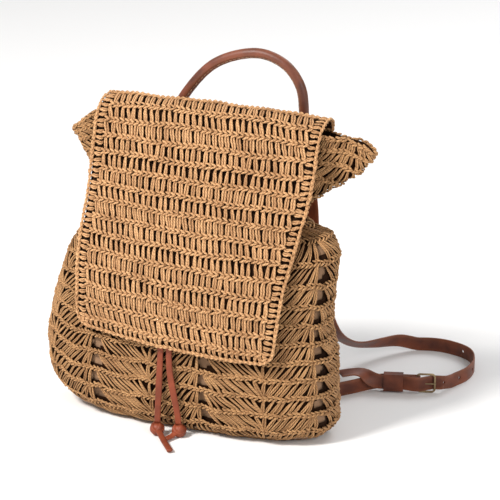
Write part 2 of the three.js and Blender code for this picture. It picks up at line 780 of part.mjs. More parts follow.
// The long strap, with its round holes, and one that the prong has pulled long.
function buildLongStrap(strap) {
  const { at: bar, along, out } = buckleFrame(strap);
  const stations = longStrapStations(strap);
  let solid = toSolid(carry(stations, bandSection(strapWidth, leather)));
  const prongMiddle = bar.clone().addScaledVector(along, buckleLength / 2).addScaledVector(out, prongLine);
  solid = solid.subtract(borer(prongMiddle, along, prongDiameter + 4 * seat, prongLength + 2));
  const distances = [0];
  for (let i = 1; i < stations.length; i += 1) {
    distances.push(distances[i - 1] + stations[i].at.distanceTo(stations[i - 1].at));
  }
  const toBar = stations.map((station) => station.at.distanceTo(bar));
  const start = distances[toBar.indexOf(Math.min(...toBar))];
  for (let k = 1; k <= holeCount; k += 1) {
    const target = start - k * holeSpacing;
    const i = distances.findIndex((d) => d >= target);
    const t = (target - distances[i - 1]) / (distances[i] - distances[i - 1]);
    const at = stations[i - 1].at.clone().lerp(stations[i].at, t);
    const tangent = stations[i].at.clone().sub(stations[i - 1].at).normalize();
    const way = stations[i].face.clone();
    way.addScaledVector(tangent, -way.dot(tangent)).normalize();
    solid = solid.subtract(borer(at, way, holeDiameter, leather * 4));
  }
  add(`shoulder_strap_${strap.name}`, fromSolid(solid), tan);
}

// The short strap: sewn to the foot of the back, then out to the buckle's bar, round it and back.
function buildShortStrap(strap) {
  const { at: bar, along, out, place } = buckleFrame(strap);
  const route = strap.anchor.map((row) => {
    const x = row.x * strapReach;
    const up = row.up === null ? strapWidth / 2 + 0.2 : row.up * strapReach;
    const behind = Math.max(backFace(x - 6, up + strapWidth), backFace(x + 6, up + strapWidth));
    const against = behind + seat + leather / 2;
    const y = row.back === null ? against : backY + row.back * strapReach;
    return { at: new THREE.Vector3(x, y, up), face: null };
  });
  [-44, -34, -22, -10, -3].forEach((a) => {
    const rise = a < -40 ? strapWidth / 2 + 1.2 : bar.z;
    route.push({ at: place(a, -shortLine, rise), face: out.clone() });
  });
  const sign = strap.name === "right" ? 1 : -1;
  route.forEach((row, i) => {
    if (row.face) return;
    const tangent = route[Math.min(i + 1, route.length - 1)].at.clone().sub(route[Math.max(i - 1, 0)].at);
    row.face = new THREE.Vector3(tangent.y, -tangent.x, 0).normalize().multiplyScalar(sign);
  });
  const stations = keepAboveFloor(smoothStations(route, 8), strapWidth, leather);
  const loopSteps = 6;
  for (let i = 1; i <= loopSteps; i += 1) {
    const angle = (Math.PI * i) / loopSteps;
    const radial = along.clone().multiplyScalar(Math.sin(angle)).addScaledVector(out, -Math.cos(angle));
    stations.push({ at: bar.clone().addScaledVector(radial, shortLine), face: radial.clone().negate() });
  }
  [-6, -12, -foldBack].forEach((a) => {
    stations.push({ at: place(a, a > -8 ? foldLine + 1 : foldLine), face: out.clone().negate() });
  });
  const solid = toSolid(carry(stations, bandSection(strapWidth, leather)));
  const slot = new THREE.BoxGeometry(8, 4 * shortLine, prongDiameter + 2 * seat);
  slot.rotateZ(Math.atan2(along.y, along.x));
  slot.translate(bar.x + along.x * 2.6, bar.y + along.y * 2.6, bar.z);
  add(`short_strap_${strap.name}`, fromSolid(solid.subtract(toSolid(slot))), tan);
}

// The buckle's frame, its prong and the leather keeper round both straps.
function buildBuckle(strap) {
  const { at: bar, along, out } = buckleFrame(strap);
  const up = new THREE.Vector3(0, 0, 1);
  const basis = new THREE.Matrix4().makeBasis(along, up, along.clone().cross(up));
  const seatPiece = (geometry) => geometry.applyMatrix4(basis).translate(bar.x, bar.y, bar.z);
  const facing = Math.sign(along.clone().cross(up).dot(out));
  const frame = new THREE.Shape();
  const high = buckleHeight / 2;
  const corner = 3;
  const length = buckleLength + barRadius;
  frame.moveTo(-barRadius, -high);
  frame.lineTo(length - corner, -high);
  frame.lineTo(length, -high + corner);
  frame.lineTo(length, high - corner);
  frame.lineTo(length - corner, high);
  frame.lineTo(-barRadius, high);
  const hole = new THREE.Path();
  const inside = high - buckleWire;
  hole.moveTo(barRadius, -inside);
  hole.lineTo(barRadius, inside);
  hole.lineTo(length - buckleWire - 1, inside);
  hole.lineTo(length - buckleWire, inside - 1);
  hole.lineTo(length - buckleWire, 1 - inside);
  hole.lineTo(length - buckleWire - 1, -inside);
  frame.holes.push(hole);
  const frameSolid = new THREE.ExtrudeGeometry(frame, { depth: buckleWire, bevelEnabled: false });
  frameSolid.translate(0, 0, -barRadius);
  add(`buckle_${strap.name}`, seatPiece(frameSolid), brass);

  const prong = new THREE.CylinderGeometry(prongDiameter * 0.4, prongDiameter / 2, prongLength, 8);
  prong.rotateZ(-Math.PI / 2);
  prong.translate(buckleLength / 2, 0, facing * prongLine);
  add(`prong_${strap.name}`, seatPiece(prong), brass);

  const low = -shortLine - leather / 2 - seat;
  const top = tailLine + leather / 2 + seat + 0.5;
  const tall = strapWidth / 2 + seat;
  const loop = new THREE.Shape();
  const wall = keeperWall;
  loop.moveTo(low - wall, -tall - wall);
  loop.lineTo(top + wall, -tall - wall);
  loop.lineTo(top + wall, tall + wall);
  loop.lineTo(low - wall, tall + wall);
  const gap = new THREE.Path();
  gap.moveTo(low, -tall);
  gap.lineTo(low, tall);
  gap.lineTo(top, tall);
  gap.lineTo(top, -tall);
  loop.holes.push(gap);
  const sleeve = new THREE.ExtrudeGeometry(loop, { depth: keeperLength, bevelEnabled: false });
  const turned = new THREE.Matrix4().makeBasis(
    new THREE.Vector3(0, 0, facing),
    new THREE.Vector3(0, 1, 0),
    new THREE.Vector3(-facing, 0, 0),
  );
  sleeve.applyMatrix4(turned);
  sleeve.computeBoundingBox();
  sleeve.translate(-keeperPlace - sleeve.boundingBox.max.x, 0, 0);
  add(`keeper_${strap.name}`, seatPiece(sleeve), tan);
}

// The sewn patch on the back that holds a handle end and a strap's top.
function buildPatch(strap) {
  const x = (strap.topX + strap.handleX) / 2;
  const patch = new THREE.BoxGeometry(patchWidth, leather, patchHeight);
  patch.translate(x, patchFace - leather / 2, patchTop - patchHeight / 2);
  add(`sewn_patch_${strap.name}`, patch, tan);
}

function buildHandle() {
  const y = patchFace + seat + handleDiameter / 2;
  const foot = patchTop - patchHeight / 2 + 2;
  const points = handleArch.map(
    ({ along, rise }) =>
      new THREE.Vector3(handleShift + along * handleSpan, y + 4 * rise, foot + rise * handleRise),
  );
  const path = new THREE.CatmullRomCurve3(points, false, "centripetal");
  const ring = new THREE.Shape();
  const sides = 8;
  for (let i = 0; i < sides; i += 1) {
    const angle = (2 * Math.PI * i) / sides;
    const x = (Math.cos(angle) * handleDiameter) / 2;
    const z = (Math.sin(angle) * handleDiameter) / 2;
    if (i === 0) ring.moveTo(x, z);
    else ring.lineTo(x, z);
  }
  const roll = new THREE.ExtrudeGeometry(ring, { steps: 17, extrudePath: path, bevelEnabled: false });
  add("top_handle", roll, tan);
}

// The drawstring, threaded round the neck in the middle of the wall's thickness, open in front.
function buildDrawstring() {
  const low = pouchRing(neckHeight - slotHeight / 2, 0);
  const high = pouchRing(neckHeight + slotHeight / 2, 0);
  const rings = [low, low.map((point, i) => point.clone().lerp(high[i], 0.5)), high];
  const normals = ringNormals(rings)[1];
  const middle = inset(rings, [0, strawWall / 2, 0])[1];
  const frontColumn = (columns * 3) / 4;
  const stations = [];
  for (let i = 2; i <= columns - 1; i += 1) {
    const column = (frontColumn + i) % columns;
    stations.push({ at: middle[column], face: normals[column] });
  }
  add("drawstring", carry(stations, flatCord(6)), thong);
}

// A flat cord's section, oval with a few corners.
function flatCord(sides) {
  const corners = [];
  for (let i = 0; i < sides; i += 1) {
    const angle = -(2 * Math.PI * (i + 0.5)) / sides;
    corners.push([(Math.cos(angle) * laceWidth) / 2, (Math.sin(angle) * laceThickness) / 2]);
  }
  return corners;
}

// A hanging lace end, its knot and the knot's tail.
function buildLace({ name, route, tailEnd }) {
  const points = route.map((p) => new THREE.Vector3(...p));
  const rows = points.map((at, i) => {
    const low = i > points.length - 4 ? 0.6 : 0;
    return { at, face: new THREE.Vector3(0, -1, low).normalize() };
  });
  const stations = smoothStations(rows, laceWidth * 2.5);
  add(`lace_${name}`, carry(stations, flatCord(8)), thong);
  const end = stations.at(-1).at;
  const heading = end.clone().sub(stations.at(-2).at).normalize();
  const centre = end.clone().addScaledVector(heading, (knotDiameter / 2) * knotSquash + seat);
  const ball = new THREE.SphereGeometry(knotDiameter / 2, 10, 6);
  ball.scale(1, 1, knotSquash);
  ball.translate(centre.x, centre.y, centre.z);
  const last = new THREE.Vector3(...tailEnd);
  const up = new THREE.Vector3(0, 0, 1);
  const half = centre.clone().lerp(last, 0.5).setZ(last.z + 1);
  const tailRows = [centre, half, last].map((at) => ({ at, face: up }));
  const tail = carry(
    smoothStations(tailRows, laceWidth * 2),
    flatCord(8).map(([a, b]) => [a * 0.8, b * 1.3]),
  );
  add(`knot_${name}`, fromSolid(toSolid(ball).add(toSolid(tail))), thong);
}

buildPouch();
buildLining();
buildFlap();
buildHandle();
buildDrawstring();
buildLace(leftLace);
buildLace(rightLace);
[rightStrap, leftStrap].forEach((strap) => {
  buildPatch(strap);
  buildLongStrap(strap);
  buildShortStrap(strap);
  buildBuckle(strap);
});

export default backpack;
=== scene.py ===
import math

import bpy
import numpy as np
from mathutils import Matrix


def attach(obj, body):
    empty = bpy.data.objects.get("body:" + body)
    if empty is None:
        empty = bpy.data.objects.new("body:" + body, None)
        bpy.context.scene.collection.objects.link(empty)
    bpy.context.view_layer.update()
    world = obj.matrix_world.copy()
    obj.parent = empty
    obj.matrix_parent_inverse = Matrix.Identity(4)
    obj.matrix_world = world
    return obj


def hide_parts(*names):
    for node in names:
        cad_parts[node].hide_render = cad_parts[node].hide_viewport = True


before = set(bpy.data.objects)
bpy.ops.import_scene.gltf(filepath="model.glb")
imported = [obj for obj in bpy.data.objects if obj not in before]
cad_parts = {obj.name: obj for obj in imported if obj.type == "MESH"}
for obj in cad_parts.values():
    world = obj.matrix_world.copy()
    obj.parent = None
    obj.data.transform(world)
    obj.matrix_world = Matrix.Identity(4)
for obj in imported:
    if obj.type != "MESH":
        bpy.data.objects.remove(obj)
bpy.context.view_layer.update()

# Tables and places are in millimetres, like the drawing of the bag; meshes are in metres.
mm = 0.001
rng = np.random.default_rng(11)

# ---- camera and light ----

# The photograph's view: azimuth and elevation of the eye, its distance, and the point it looks at.
view = dict(azimuth=25.0, elevation=19.0, target=(53.7, 6.0, 177.4), scale=1.035, focal=2400.0, frame=500.0)


def makeCamera():
    a, e = math.radians(view["azimuth"]), math.radians(view["elevation"])
    back = np.array([math.sin(a) * math.cos(e), -math.cos(a) * math.cos(e), math.sin(e)])
    place = np.array(view["target"]) + back * view["focal"] / view["scale"]
    data = bpy.data.cameras.new("camera")
    data.sensor_width = 36.0
    data.lens = 36.0 * view["focal"] / view["frame"]
    data.clip_end = 20.0
    eye = bpy.data.objects.new("camera", data)
    eye.location = place * mm
    eye.rotation_euler = (math.pi / 2 - e, 0.0, a)
    bpy.context.scene.collection.objects.link(eye)
    bpy.context.scene.camera = eye


# Big soft boxes round the bag, and an even sky.
lights = dict(
    key=dict(place=(-1.0, -1.5, 2.1), size=0.65, power=84.0, colour=(1.0, 0.975, 0.94)),
    side=dict(place=(1.9, -0.9, 1.2), size=1.4, power=16.0, colour=(1.0, 0.98, 0.96)),
    rear=dict(place=(0.4, 2.0, 1.9), size=1.4, power=22.0, colour=(0.97, 0.98, 1.0)),
    sky=0.45,
    sight=(0.05, 0.0, 0.14),
)


def makeLights():
    for name in ("key", "side", "rear"):
        spec = lights[name]
        data = bpy.data.lights.new(name, "AREA")
        data.shape = "DISK"
        data.size = spec["size"]
        data.energy = spec["power"]
        data.color = spec["colour"]
        lamp = bpy.data.objects.new(name, data)
        lamp.location = spec["place"]
        way = np.array(spec["place"]) - np.array(lights["sight"])
        flat = math.hypot(way[0], way[1])
        lamp.rotation_euler = (math.atan2(flat, way[2]), 0.0, math.atan2(way[0], -way[1]))
        bpy.context.scene.collection.objects.link(lamp)
    world = bpy.data.worlds.new("studio")
    world.use_nodes = True
    sky = world.node_tree.nodes["Background"]
    sky.inputs["Color"].default_value = (1.0, 1.0, 1.0, 1.0)
    sky.inputs["Strength"].default_value = lights["sky"]
    bpy.context.scene.world = world
    bpy.context.scene.view_settings.view_transform = "Standard"


# ---- mesh tools ----

# A mesh from vertices and faces of several sizes, given as a list of index arrays, in millimetres.
def makeMesh(name, verts, faceSets, uv=None, tone=None, smooth=True):
    mesh = bpy.data.meshes.new(name)
    verts = np.asarray(verts, dtype=np.float64).reshape(-1, 3) * mm
    loops = np.concatenate([faces.reshape(-1) for faces in faceSets]).astype(np.int32)
    totals = np.concatenate([np.full(len(faces), faces.shape[1]) for faces in faceSets]).astype(np.int32)
    starts = np.concatenate([[0], np.cumsum(totals)[:-1]]).astype(np.int32)
    mesh.vertices.add(len(verts))
    mesh.vertices.foreach_set("co", verts.astype(np.float32).ravel())
    mesh.loops.add(len(loops))
    mesh.loops.foreach_set("vertex_index", loops)
    mesh.polygons.add(len(totals))
    mesh.polygons.foreach_set("loop_start", starts)
    mesh.polygons.foreach_set("use_smooth", np.full(len(totals), smooth))
    if uv is not None:
        layer = mesh.uv_layers.new(name="UVMap")
        layer.data.foreach_set("uv", np.asarray(uv, dtype=np.float32).reshape(-1, 2)[loops].ravel())
    if tone is not None:
        values = mesh.attributes.new("tone", "FLOAT", "POINT")
        values.data.foreach_set("value", np.asarray(tone, dtype=np.float32).ravel())
    mesh.update(calc_edges=True)
    mesh.validate()
    piece = bpy.data.objects.new(name, mesh)
    bpy.context.scene.collection.objects.link(piece)
    return piece


def unit(v):
    return v / np.maximum(np.linalg.norm(v, axis=-1, keepdims=True), 1e-9)


# Many cords at once. paths is (cords, steps, 3) and outward the way each step faces. At every
# step a ring of points is placed: middle + across * cos * wide + outward * sin * thick.
def cordRings(paths, outward, wide, thick, sides, square):
    tangent = unit(np.gradient(paths, axis=1))
    across = unit(np.cross(tangent, outward))
    out = np.cross(across, tangent)
    turn = -2 * np.pi * (np.arange(sides) + 0.5) / sides
    wide = np.broadcast_to(wide, paths.shape[:2])[..., None, None]
    thick = np.broadcast_to(thick, paths.shape[:2])[..., None, None]
    c, s = (np.sign(f(turn)) * np.abs(f(turn)) ** square for f in (np.cos, np.sin))
    ring = across[:, :, None] * c[:, None] * wide + out[:, :, None] * s[:, None] * thick
    return paths[:, :, None] + ring


# Joins the rings of each cord into a closed tube with flat ends; u runs along it in cm, v round it.
def cordMesh(name, paths, outward, wide, thick, sides=5, tone=None, square=1.0):
    count, steps = paths.shape[:2]
    rings = cordRings(paths, outward, wide, thick, sides, square)
    base = (np.arange(count) * steps * sides)[:, None, None]
    row = (np.arange(steps - 1) * sides)[None, :, None]
    k = np.arange(sides)[None, None, :]
    k2 = (k + 1) % sides
    quads = np.stack([base + row + k, base + row + k2, base + row + sides + k2, base + row + sides + k], -1)
    k = np.arange(sides)[None, :]
    first = base[:, :, 0] + k[:, ::-1]
    last = base[:, :, 0] + (steps - 1) * sides + k
    length = np.concatenate(
        [np.zeros((count, 1)), np.cumsum(np.linalg.norm(np.diff(paths, axis=1), axis=-1), axis=1)], axis=1
    )
    u = np.broadcast_to((length / 10)[:, :, None], (count, steps, sides))
    v = np.broadcast_to((np.arange(sides) / sides)[None, None, :], (count, steps, sides))
    if tone is None:
        tone = rng.random(count)
    tones = np.broadcast_to(np.asarray(tone)[:, None, None], (count, steps, sides))
    return makeMesh(name, rings, [quads.reshape(-1, 4), first, last], np.stack([u, v], -1), tones)


# A sheet on a grid of points (rows, columns, 3); keep marks the cells that have a face.
def gridMesh(name, points, keep=None, closed=False, flip=False):
    rows, cols = points.shape[:2]
    index = np.arange(rows * cols).reshape(rows, cols)
    if closed:
        index = np.concatenate([index, index[:, :1]], axis=1)
    a, b, c, d = index[:-1, :-1], index[:-1, 1:], index[1:, 1:], index[1:, :-1]
    quads = np.stack([a, b, c, d] if not flip else [d, c, b, a], -1)
    quads = quads.reshape(-1, 4) if keep is None else quads[keep]
    u = np.broadcast_to(np.arange(cols) / cols, (rows, cols))
    v = np.broadcast_to((np.arange(rows) / rows)[:, None], (rows, cols))
    return makeMesh(name, points, [quads], np.stack([u, v], -1))


# A smooth monotone curve through a table's column: cubic pieces between the rows, whose slope at
# a row is the harmonic mean of the slopes on its two sides.
def curveAt(keys, values, at):
    keys, values, at = np.asarray(keys, float), np.asarray(values, float), np.asarray(at, float)
    slope = np.diff(values) / np.diff(keys)
    before, after = slope[:-1], slope[1:]
    total = np.where(before * after > 0, before + after, 1.0)
    inner = np.where(before * after > 0, 2 * before * after / total, 0.0)
    m = np.concatenate([[0.0], inner, [0.0]])
    i = np.clip(np.searchsorted(keys, at, side="left") - 1, 0, len(keys) - 2)
    step = keys[i + 1] - keys[i]
    t = np.clip((at - keys[i]) / step, 0, 1)
    return (
        (2 * t**3 - 3 * t**2 + 1) * values[i]
        + (t**3 - 2 * t**2 + t) * step * m[i]
        + (3 * t**2 - 2 * t**3) * values[i + 1]
        + (t**3 - t**2) * step * m[i + 1]
    )


# Points at even steps on a centripetal spline through the given ones, as in the drawing.
def smoothPath(points, step=None, count=None):
    p = np.asarray(points, float)
    p = np.concatenate([[2 * p[0] - p[1]], p, [2 * p[-1] - p[-2]]])
    p0, p1, p2, p3 = p[:-3], p[1:-2], p[2:-1], p[3:]
    gap = lambda a, b: np.maximum(np.linalg.norm(b - a, axis=1, keepdims=True) ** 0.5, 1e-3)
    d0, d1, d2 = gap(p0, p1), gap(p1, p2), gap(p2, p3)
    m1 = ((p1 - p0) / d0 - (p2 - p0) / (d0 + d1) + (p2 - p1) / d1) * d1
    m2 = ((p2 - p1) / d1 - (p3 - p1) / (d1 + d2) + (p3 - p2) / d2) * d1
    t = (np.arange(24) / 24)[None, :, None]
    dense = (
        (2 * t**3 - 3 * t**2 + 1) * p1[:, None]
        + (t**3 - 2 * t**2 + t) * m1[:, None]
        + (3 * t**2 - 2 * t**3) * p2[:, None]
        + (t**3 - t**2) * m2[:, None]
    )
    dense = np.concatenate([dense.reshape(-1, 3), p[-2:-1]])
    far = np.concatenate([[0], np.cumsum(np.linalg.norm(np.diff(dense, axis=0), axis=1))])
    count = count or max(2, int(round(far[-1] / step)) + 1)
    at = np.linspace(0, far[-1], count)
    knots = far[np.arange(len(points)) * 24]
    even = np.stack([np.interp(at, far, dense[:, k]) for k in range(3)], axis=1)
    return even, at, knots


# ---- materials ----

def newMaterial(name):
    material = bpy.data.materials.new(name)
    material.use_nodes = True
    return material, material.node_tree, material.node_tree.nodes["Principled BSDF"]


def addNode(tree, kind, inputs=None, **settings):
    node = tree.nodes.new(kind)
    for key, value in settings.items():
        setattr(node, key, value)
    for key, value in (inputs or {}).items():
        if isinstance(value, bpy.types.NodeSocket):
            tree.links.new(value, node.inputs[key])
        else:
            node.inputs[key].default_value = value
    return node


def mathNode(tree, operation, a, b=0.0):
    return addNode(tree, "ShaderNodeMath", {0: a, 1: b}, operation=operation).outputs[0]


def mixColour(tree, factor, a, b, blend="MIX"):
    node = tree.nodes.new("ShaderNodeMix")
    node.data_type = "RGBA"
    node.blend_type = blend
    for socket, value in ((node.inputs[0], factor), (node.inputs[6], a), (node.inputs[7], b)):
        if isinstance(value, bpy.types.NodeSocket):
            tree.links.new(value, socket)
        else:
            socket.default_value = value
    return node.outputs[2]


def newGroup(name, ins, outs):
    group = bpy.data.node_groups.new(name, "ShaderNodeTree")
    for key, kind, value in ins:
        socket = group.interface.new_socket(key, in_out="INPUT", socket_type=kind)
        if value is not None:
            socket.default_value = value
    for key, kind in outs:
        group.interface.new_socket(key, in_out="OUTPUT", socket_type=kind)
    return group, group.nodes.new("NodeGroupInput").outputs, group.nodes.new("NodeGroupOutput").inputs


# Twisted paper cord: strands wind round it as sin(turns round + turns along), fibres run with
# them, and each stitch has its own tone between the dark, middle and light straw.
def makeCordGroup():
    group, ins, outs = newGroup(
        "paperCord",
        [("Light", "NodeSocketColor", (0.7, 0.4, 0.2, 1)), ("Middle", "NodeSocketColor", (0.5, 0.3, 0.1, 1)),
         ("Dark", "NodeSocketColor", (0.1, 0.05, 0.02, 1)), ("GrooveShade", "NodeSocketFloat", 0.35)],
        [("Color", "NodeSocketColor"), ("Height", "NodeSocketFloat"), ("Roughness", "NodeSocketFloat")],
    )
    uv = addNode(group, "ShaderNodeUVMap", uv_map="UVMap").outputs[0]
    parts = addNode(group, "ShaderNodeSeparateXYZ", {0: uv}).outputs
    tone = addNode(group, "ShaderNodeAttribute", attribute_name="tone").outputs["Fac"]
    place = addNode(group, "ShaderNodeTexCoord").outputs["Object"]
    turns = mathNode(group, "ADD", mathNode(group, "MULTIPLY", parts[0], 3.2), mathNode(group, "MULTIPLY", parts[1], 2.0))
    wind = mathNode(group, "SINE", mathNode(group, "MULTIPLY", turns, 2 * math.pi))
    wind = mathNode(group, "ADD", mathNode(group, "MULTIPLY", wind, 0.5), 0.5)
    fibreMap = addNode(group, "ShaderNodeMapping", {"Vector": uv, "Scale": (9.0, 26.0, 1.0)}).outputs[0]
    fibre = addNode(group, "ShaderNodeTexNoise", {"Vector": fibreMap, "Scale": 1.0, "Detail": 3.0}).outputs["Fac"]
    patch = addNode(group, "ShaderNodeTexNoise", {"Vector": place, "Scale": 38.0, "Detail": 2.0}).outputs["Fac"]
    level = mathNode(group, "ADD", mathNode(group, "MULTIPLY", tone, 0.5), mathNode(group, "MULTIPLY", patch, 0.5))
    level = mathNode(group, "ADD", level, mathNode(group, "MULTIPLY", mathNode(group, "SUBTRACT", fibre, 0.5), 0.5))
    ramp = addNode(group, "ShaderNodeMapRange", {"Value": level, "From Min": 0.25, "From Max": 0.75}).outputs[0]
    colour = mixColour(group, ramp, ins["Middle"], ins["Light"])
    # Painted shade: cords with tone below 0.2 are mixed up to 0.6 towards Dark. These are mostly the deeper middle cord
    # of each tall stitch (tone 0), shaded between the outer two; cords given a random low tone darken the same way.
    inner = addNode(group, "ShaderNodeMapRange", {"Value": tone, "From Max": 0.2, "To Min": 0.6, "To Max": 0.0}).outputs[0]
    colour = mixColour(group, inner, colour, ins["Dark"])
    # Painted shade: where wind is low, in the grooves between the wound strands, the colour is mixed towards Dark as
    # far as GrooveShade says.
    shade = mathNode(group, "MULTIPLY", mathNode(group, "POWER", mathNode(group, "SUBTRACT", 1.0, wind), 3.0), ins["GrooveShade"])
    colour = mixColour(group, shade, colour, ins["Dark"])
    height = mathNode(group, "ADD", mathNode(group, "POWER", wind, 0.6), mathNode(group, "MULTIPLY", fibre, 0.5))
    group.links.new(colour, outs["Color"])
    group.links.new(height, outs["Height"])
    rough = mathNode(group, "ADD", mathNode(group, "MULTIPLY", fibre, 0.25), 0.55)
    group.links.new(rough, outs["Roughness"])
    return group


# Leather: a grain of small cells, a slow mottling, and pale wear where the tone is high.
def makeLeatherGroup():
    group, ins, outs = newGroup(
        "leatherGrain",
        [("Base", "NodeSocketColor", (0.2, 0.07, 0.03, 1)), ("Deep", "NodeSocketColor", (0.08, 0.03, 0.02, 1)),
         ("Worn", "NodeSocketColor", (0.4, 0.2, 0.1, 1)), ("Grain", "NodeSocketFloat", 900.0),
         ("Wear", "NodeSocketFloat", 0.3)],
        [("Color", "NodeSocketColor"), ("Height", "NodeSocketFloat"), ("Roughness", "NodeSocketFloat")],
    )
    place = addNode(group, "ShaderNodeTexCoord").outputs["Object"]
    cells = addNode(group, "ShaderNodeTexVoronoi", {"Vector": place, "Scale": ins["Grain"]}).outputs["Distance"]
    mottle = addNode(group, "ShaderNodeTexNoise", {"Vector": place, "Scale": 55.0, "Detail": 5.0}).outputs["Fac"]
    fine = addNode(group, "ShaderNodeTexNoise", {"Vector": place, "Scale": 700.0, "Detail": 2.0}).outputs["Fac"]
    tone = addNode(group, "ShaderNodeAttribute", attribute_name="tone").outputs["Fac"]
    spread = addNode(group, "ShaderNodeMapRange", {"Value": mottle, "From Min": 0.35, "From Max": 0.68}).outputs[0]
    colour = mixColour(group, spread, ins["Deep"], ins["Base"])
    rub = mathNode(group, "MULTIPLY", mathNode(group, "MULTIPLY", tone, ins["Wear"]), mathNode(group, "ADD", fine, 0.4))
    colour = mixColour(group, rub, colour, ins["Worn"])
    height = mathNode(group, "ADD", mathNode(group, "MULTIPLY", cells, 0.8), mathNode(group, "MULTIPLY", mottle, 0.9))
    group.links.new(colour, outs["Color"])
    group.links.new(height, outs["Height"])
    rough = mathNode(group, "ADD", mathNode(group, "MULTIPLY", mottle, 0.3), 0.32)
    group.links.new(rough, outs["Roughness"])
    return group


def bumpFrom(tree, shader, height, strength, distance):
    bump = addNode(tree, "ShaderNodeBump", {"Height": height, "Strength": strength, "Distance": distance})
    tree.links.new(bump.outputs[0], shader.inputs["Normal"])


def makeGrouped(name, group, values, strength, distance, sheen=0.0, shine=0.5):
    material, tree, shader = newMaterial(name)
    node = tree.nodes.new("ShaderNodeGroup")
    node.node_tree = group
    for key, value in values.items():
        node.inputs[key].default_value = value
    tree.links.new(node.outputs["Color"], shader.inputs["Base Color"])
    tree.links.new(node.outputs["Roughness"], shader.inputs["Roughness"])
    bumpFrom(tree, shader, node.outputs["Height"], strength, distance)
    shader.inputs["Sheen Weight"].default_value = sheen
    shader.inputs["Specular IOR Level"].default_value = shine
    return material


# Plain woven cloth: threads over and under, as the product of two sine waves.
def makeCloth(name, colour, shade, threads):
    material, tree, shader = newMaterial(name)
    place = addNode(tree, "ShaderNodeTexCoord").outputs["Object"]
    parts = addNode(tree, "ShaderNodeSeparateXYZ", {0: place}).outputs
    side = mathNode(tree, "ADD", parts[0], parts[1])
    warp = mathNode(tree, "SINE", mathNode(tree, "MULTIPLY", side, threads))
    weft = mathNode(tree, "SINE", mathNode(tree, "MULTIPLY", parts[2], threads))
    weave = mathNode(tree, "MULTIPLY", warp, weft)
    slub = addNode(tree, "ShaderNodeTexNoise", {"Vector": place, "Scale": 90.0, "Detail": 4.0}).outputs["Fac"]
    level = mathNode(tree, "ADD", mathNode(tree, "MULTIPLY", weave, 0.2), slub)
    tree.links.new(mixColour(tree, level, shade, colour), shader.inputs["Base Color"])
    shader.inputs["Roughness"].default_value = 0.9
    shader.inputs["Sheen Weight"].default_value = 0.15
    bumpFrom(tree, shader, weave, 0.4, 0.0002)
    return material


# Aged brass: bright where rubbed, brown in the hollows.
def makeBrass(name):
    material, tree, shader = newMaterial(name)
    place = addNode(tree, "ShaderNodeTexCoord").outputs["Object"]
    stain = addNode(tree, "ShaderNodeTexNoise", {"Vector": place, "Scale": 320.0, "Detail": 5.0}).outputs["Fac"]
    tree.links.new(
        mixColour(tree, stain, (0.16, 0.1, 0.05, 1), (0.5, 0.38, 0.22, 1)), shader.inputs["Base Color"]
    )
    shader.inputs["Metallic"].default_value = 0.9
    rough = mathNode(tree, "ADD", mathNode(tree, "MULTIPLY", stain, 0.35), 0.2)
    tree.links.new(rough, shader.inputs["Roughness"])
    bumpFrom(tree, shader, stain, 0.15, 0.0002)
    return material


def makeMaterials():
    cord = makeCordGroup()
    leather = makeLeatherGroup()
    straw = dict(Light=(0.70, 0.40, 0.19, 1), Middle=(0.40, 0.20, 0.085, 1), Dark=(0.08, 0.032, 0.012, 1), GrooveShade=0.45)
    # pouchStrawShaded: the same straw as the flap's, made darker: painted shade over the whole pouch.
    pouchStrawShaded = dict(Light=(0.56, 0.31, 0.135, 1), Middle=(0.29, 0.14, 0.055, 1), Dark=(0.06, 0.025, 0.01, 1), GrooveShade=0.5)
    # core: near-black straw for the sheets behind the stitches, painted shade seen through the gaps.
    core = dict(Light=(0.07, 0.028, 0.01, 1), Middle=(0.035, 0.014, 0.005, 1), Dark=(0.01, 0.004, 0.002, 1), GrooveShade=0.6)
    strap = dict(Base=(0.2, 0.05, 0.02, 1), Deep=(0.085, 0.02, 0.009, 1), Worn=(0.34, 0.12, 0.055, 1), Grain=1100.0, Wear=0.35)
    handle = dict(Base=(0.17, 0.042, 0.018, 1), Deep=(0.065, 0.016, 0.007, 1), Worn=(0.32, 0.12, 0.055, 1), Grain=1000.0, Wear=0.3)
    lace = dict(Base=(0.27, 0.055, 0.022, 1), Deep=(0.13, 0.024, 0.01, 1), Worn=(0.36, 0.1, 0.045, 1), Grain=1500.0, Wear=0.25)
    thread = dict(Light=(0.5, 0.33, 0.2, 1), Middle=(0.36, 0.2, 0.11, 1), Dark=(0.1, 0.05, 0.03, 1), GrooveShade=0.4)
    return dict(
        flap=makeGrouped("flapStraw", cord, straw, 0.6, 0.0006, 0.0, 0.3),
        pouch=makeGrouped("pouchStrawShaded", cord, pouchStrawShaded, 0.6, 0.0006, 0.0, 0.3),
        core=makeGrouped("shadeSheetStraw", cord, core, 0.5, 0.0008, 0.0, 0.05),
        strap=makeGrouped("strapLeather", leather, strap, 0.35, 0.0003, 0.0, 0.35),
        handle=makeGrouped("handleLeather", leather, handle, 0.35, 0.0003),
        lace=makeGrouped("laceLeather", leather, lace, 0.3, 0.0003, 0.0, 0.3),
        thread=makeGrouped("waxedThread", cord, thread, 0.4, 0.0003),
        lining=makeCloth("liningCloth", (0.34, 0.195, 0.105, 1), (0.21, 0.115, 0.06, 1), 4200.0),
        metal=makeBrass("agedBrass"),
    )


def finish(piece, material, slot, *nodes):
    piece.data.materials.clear()
    piece.data.materials.append(material)
    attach(piece, "root")
    if nodes:
        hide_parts(*nodes)
    return piece


# ---- the two free lace ends, with their knots ----

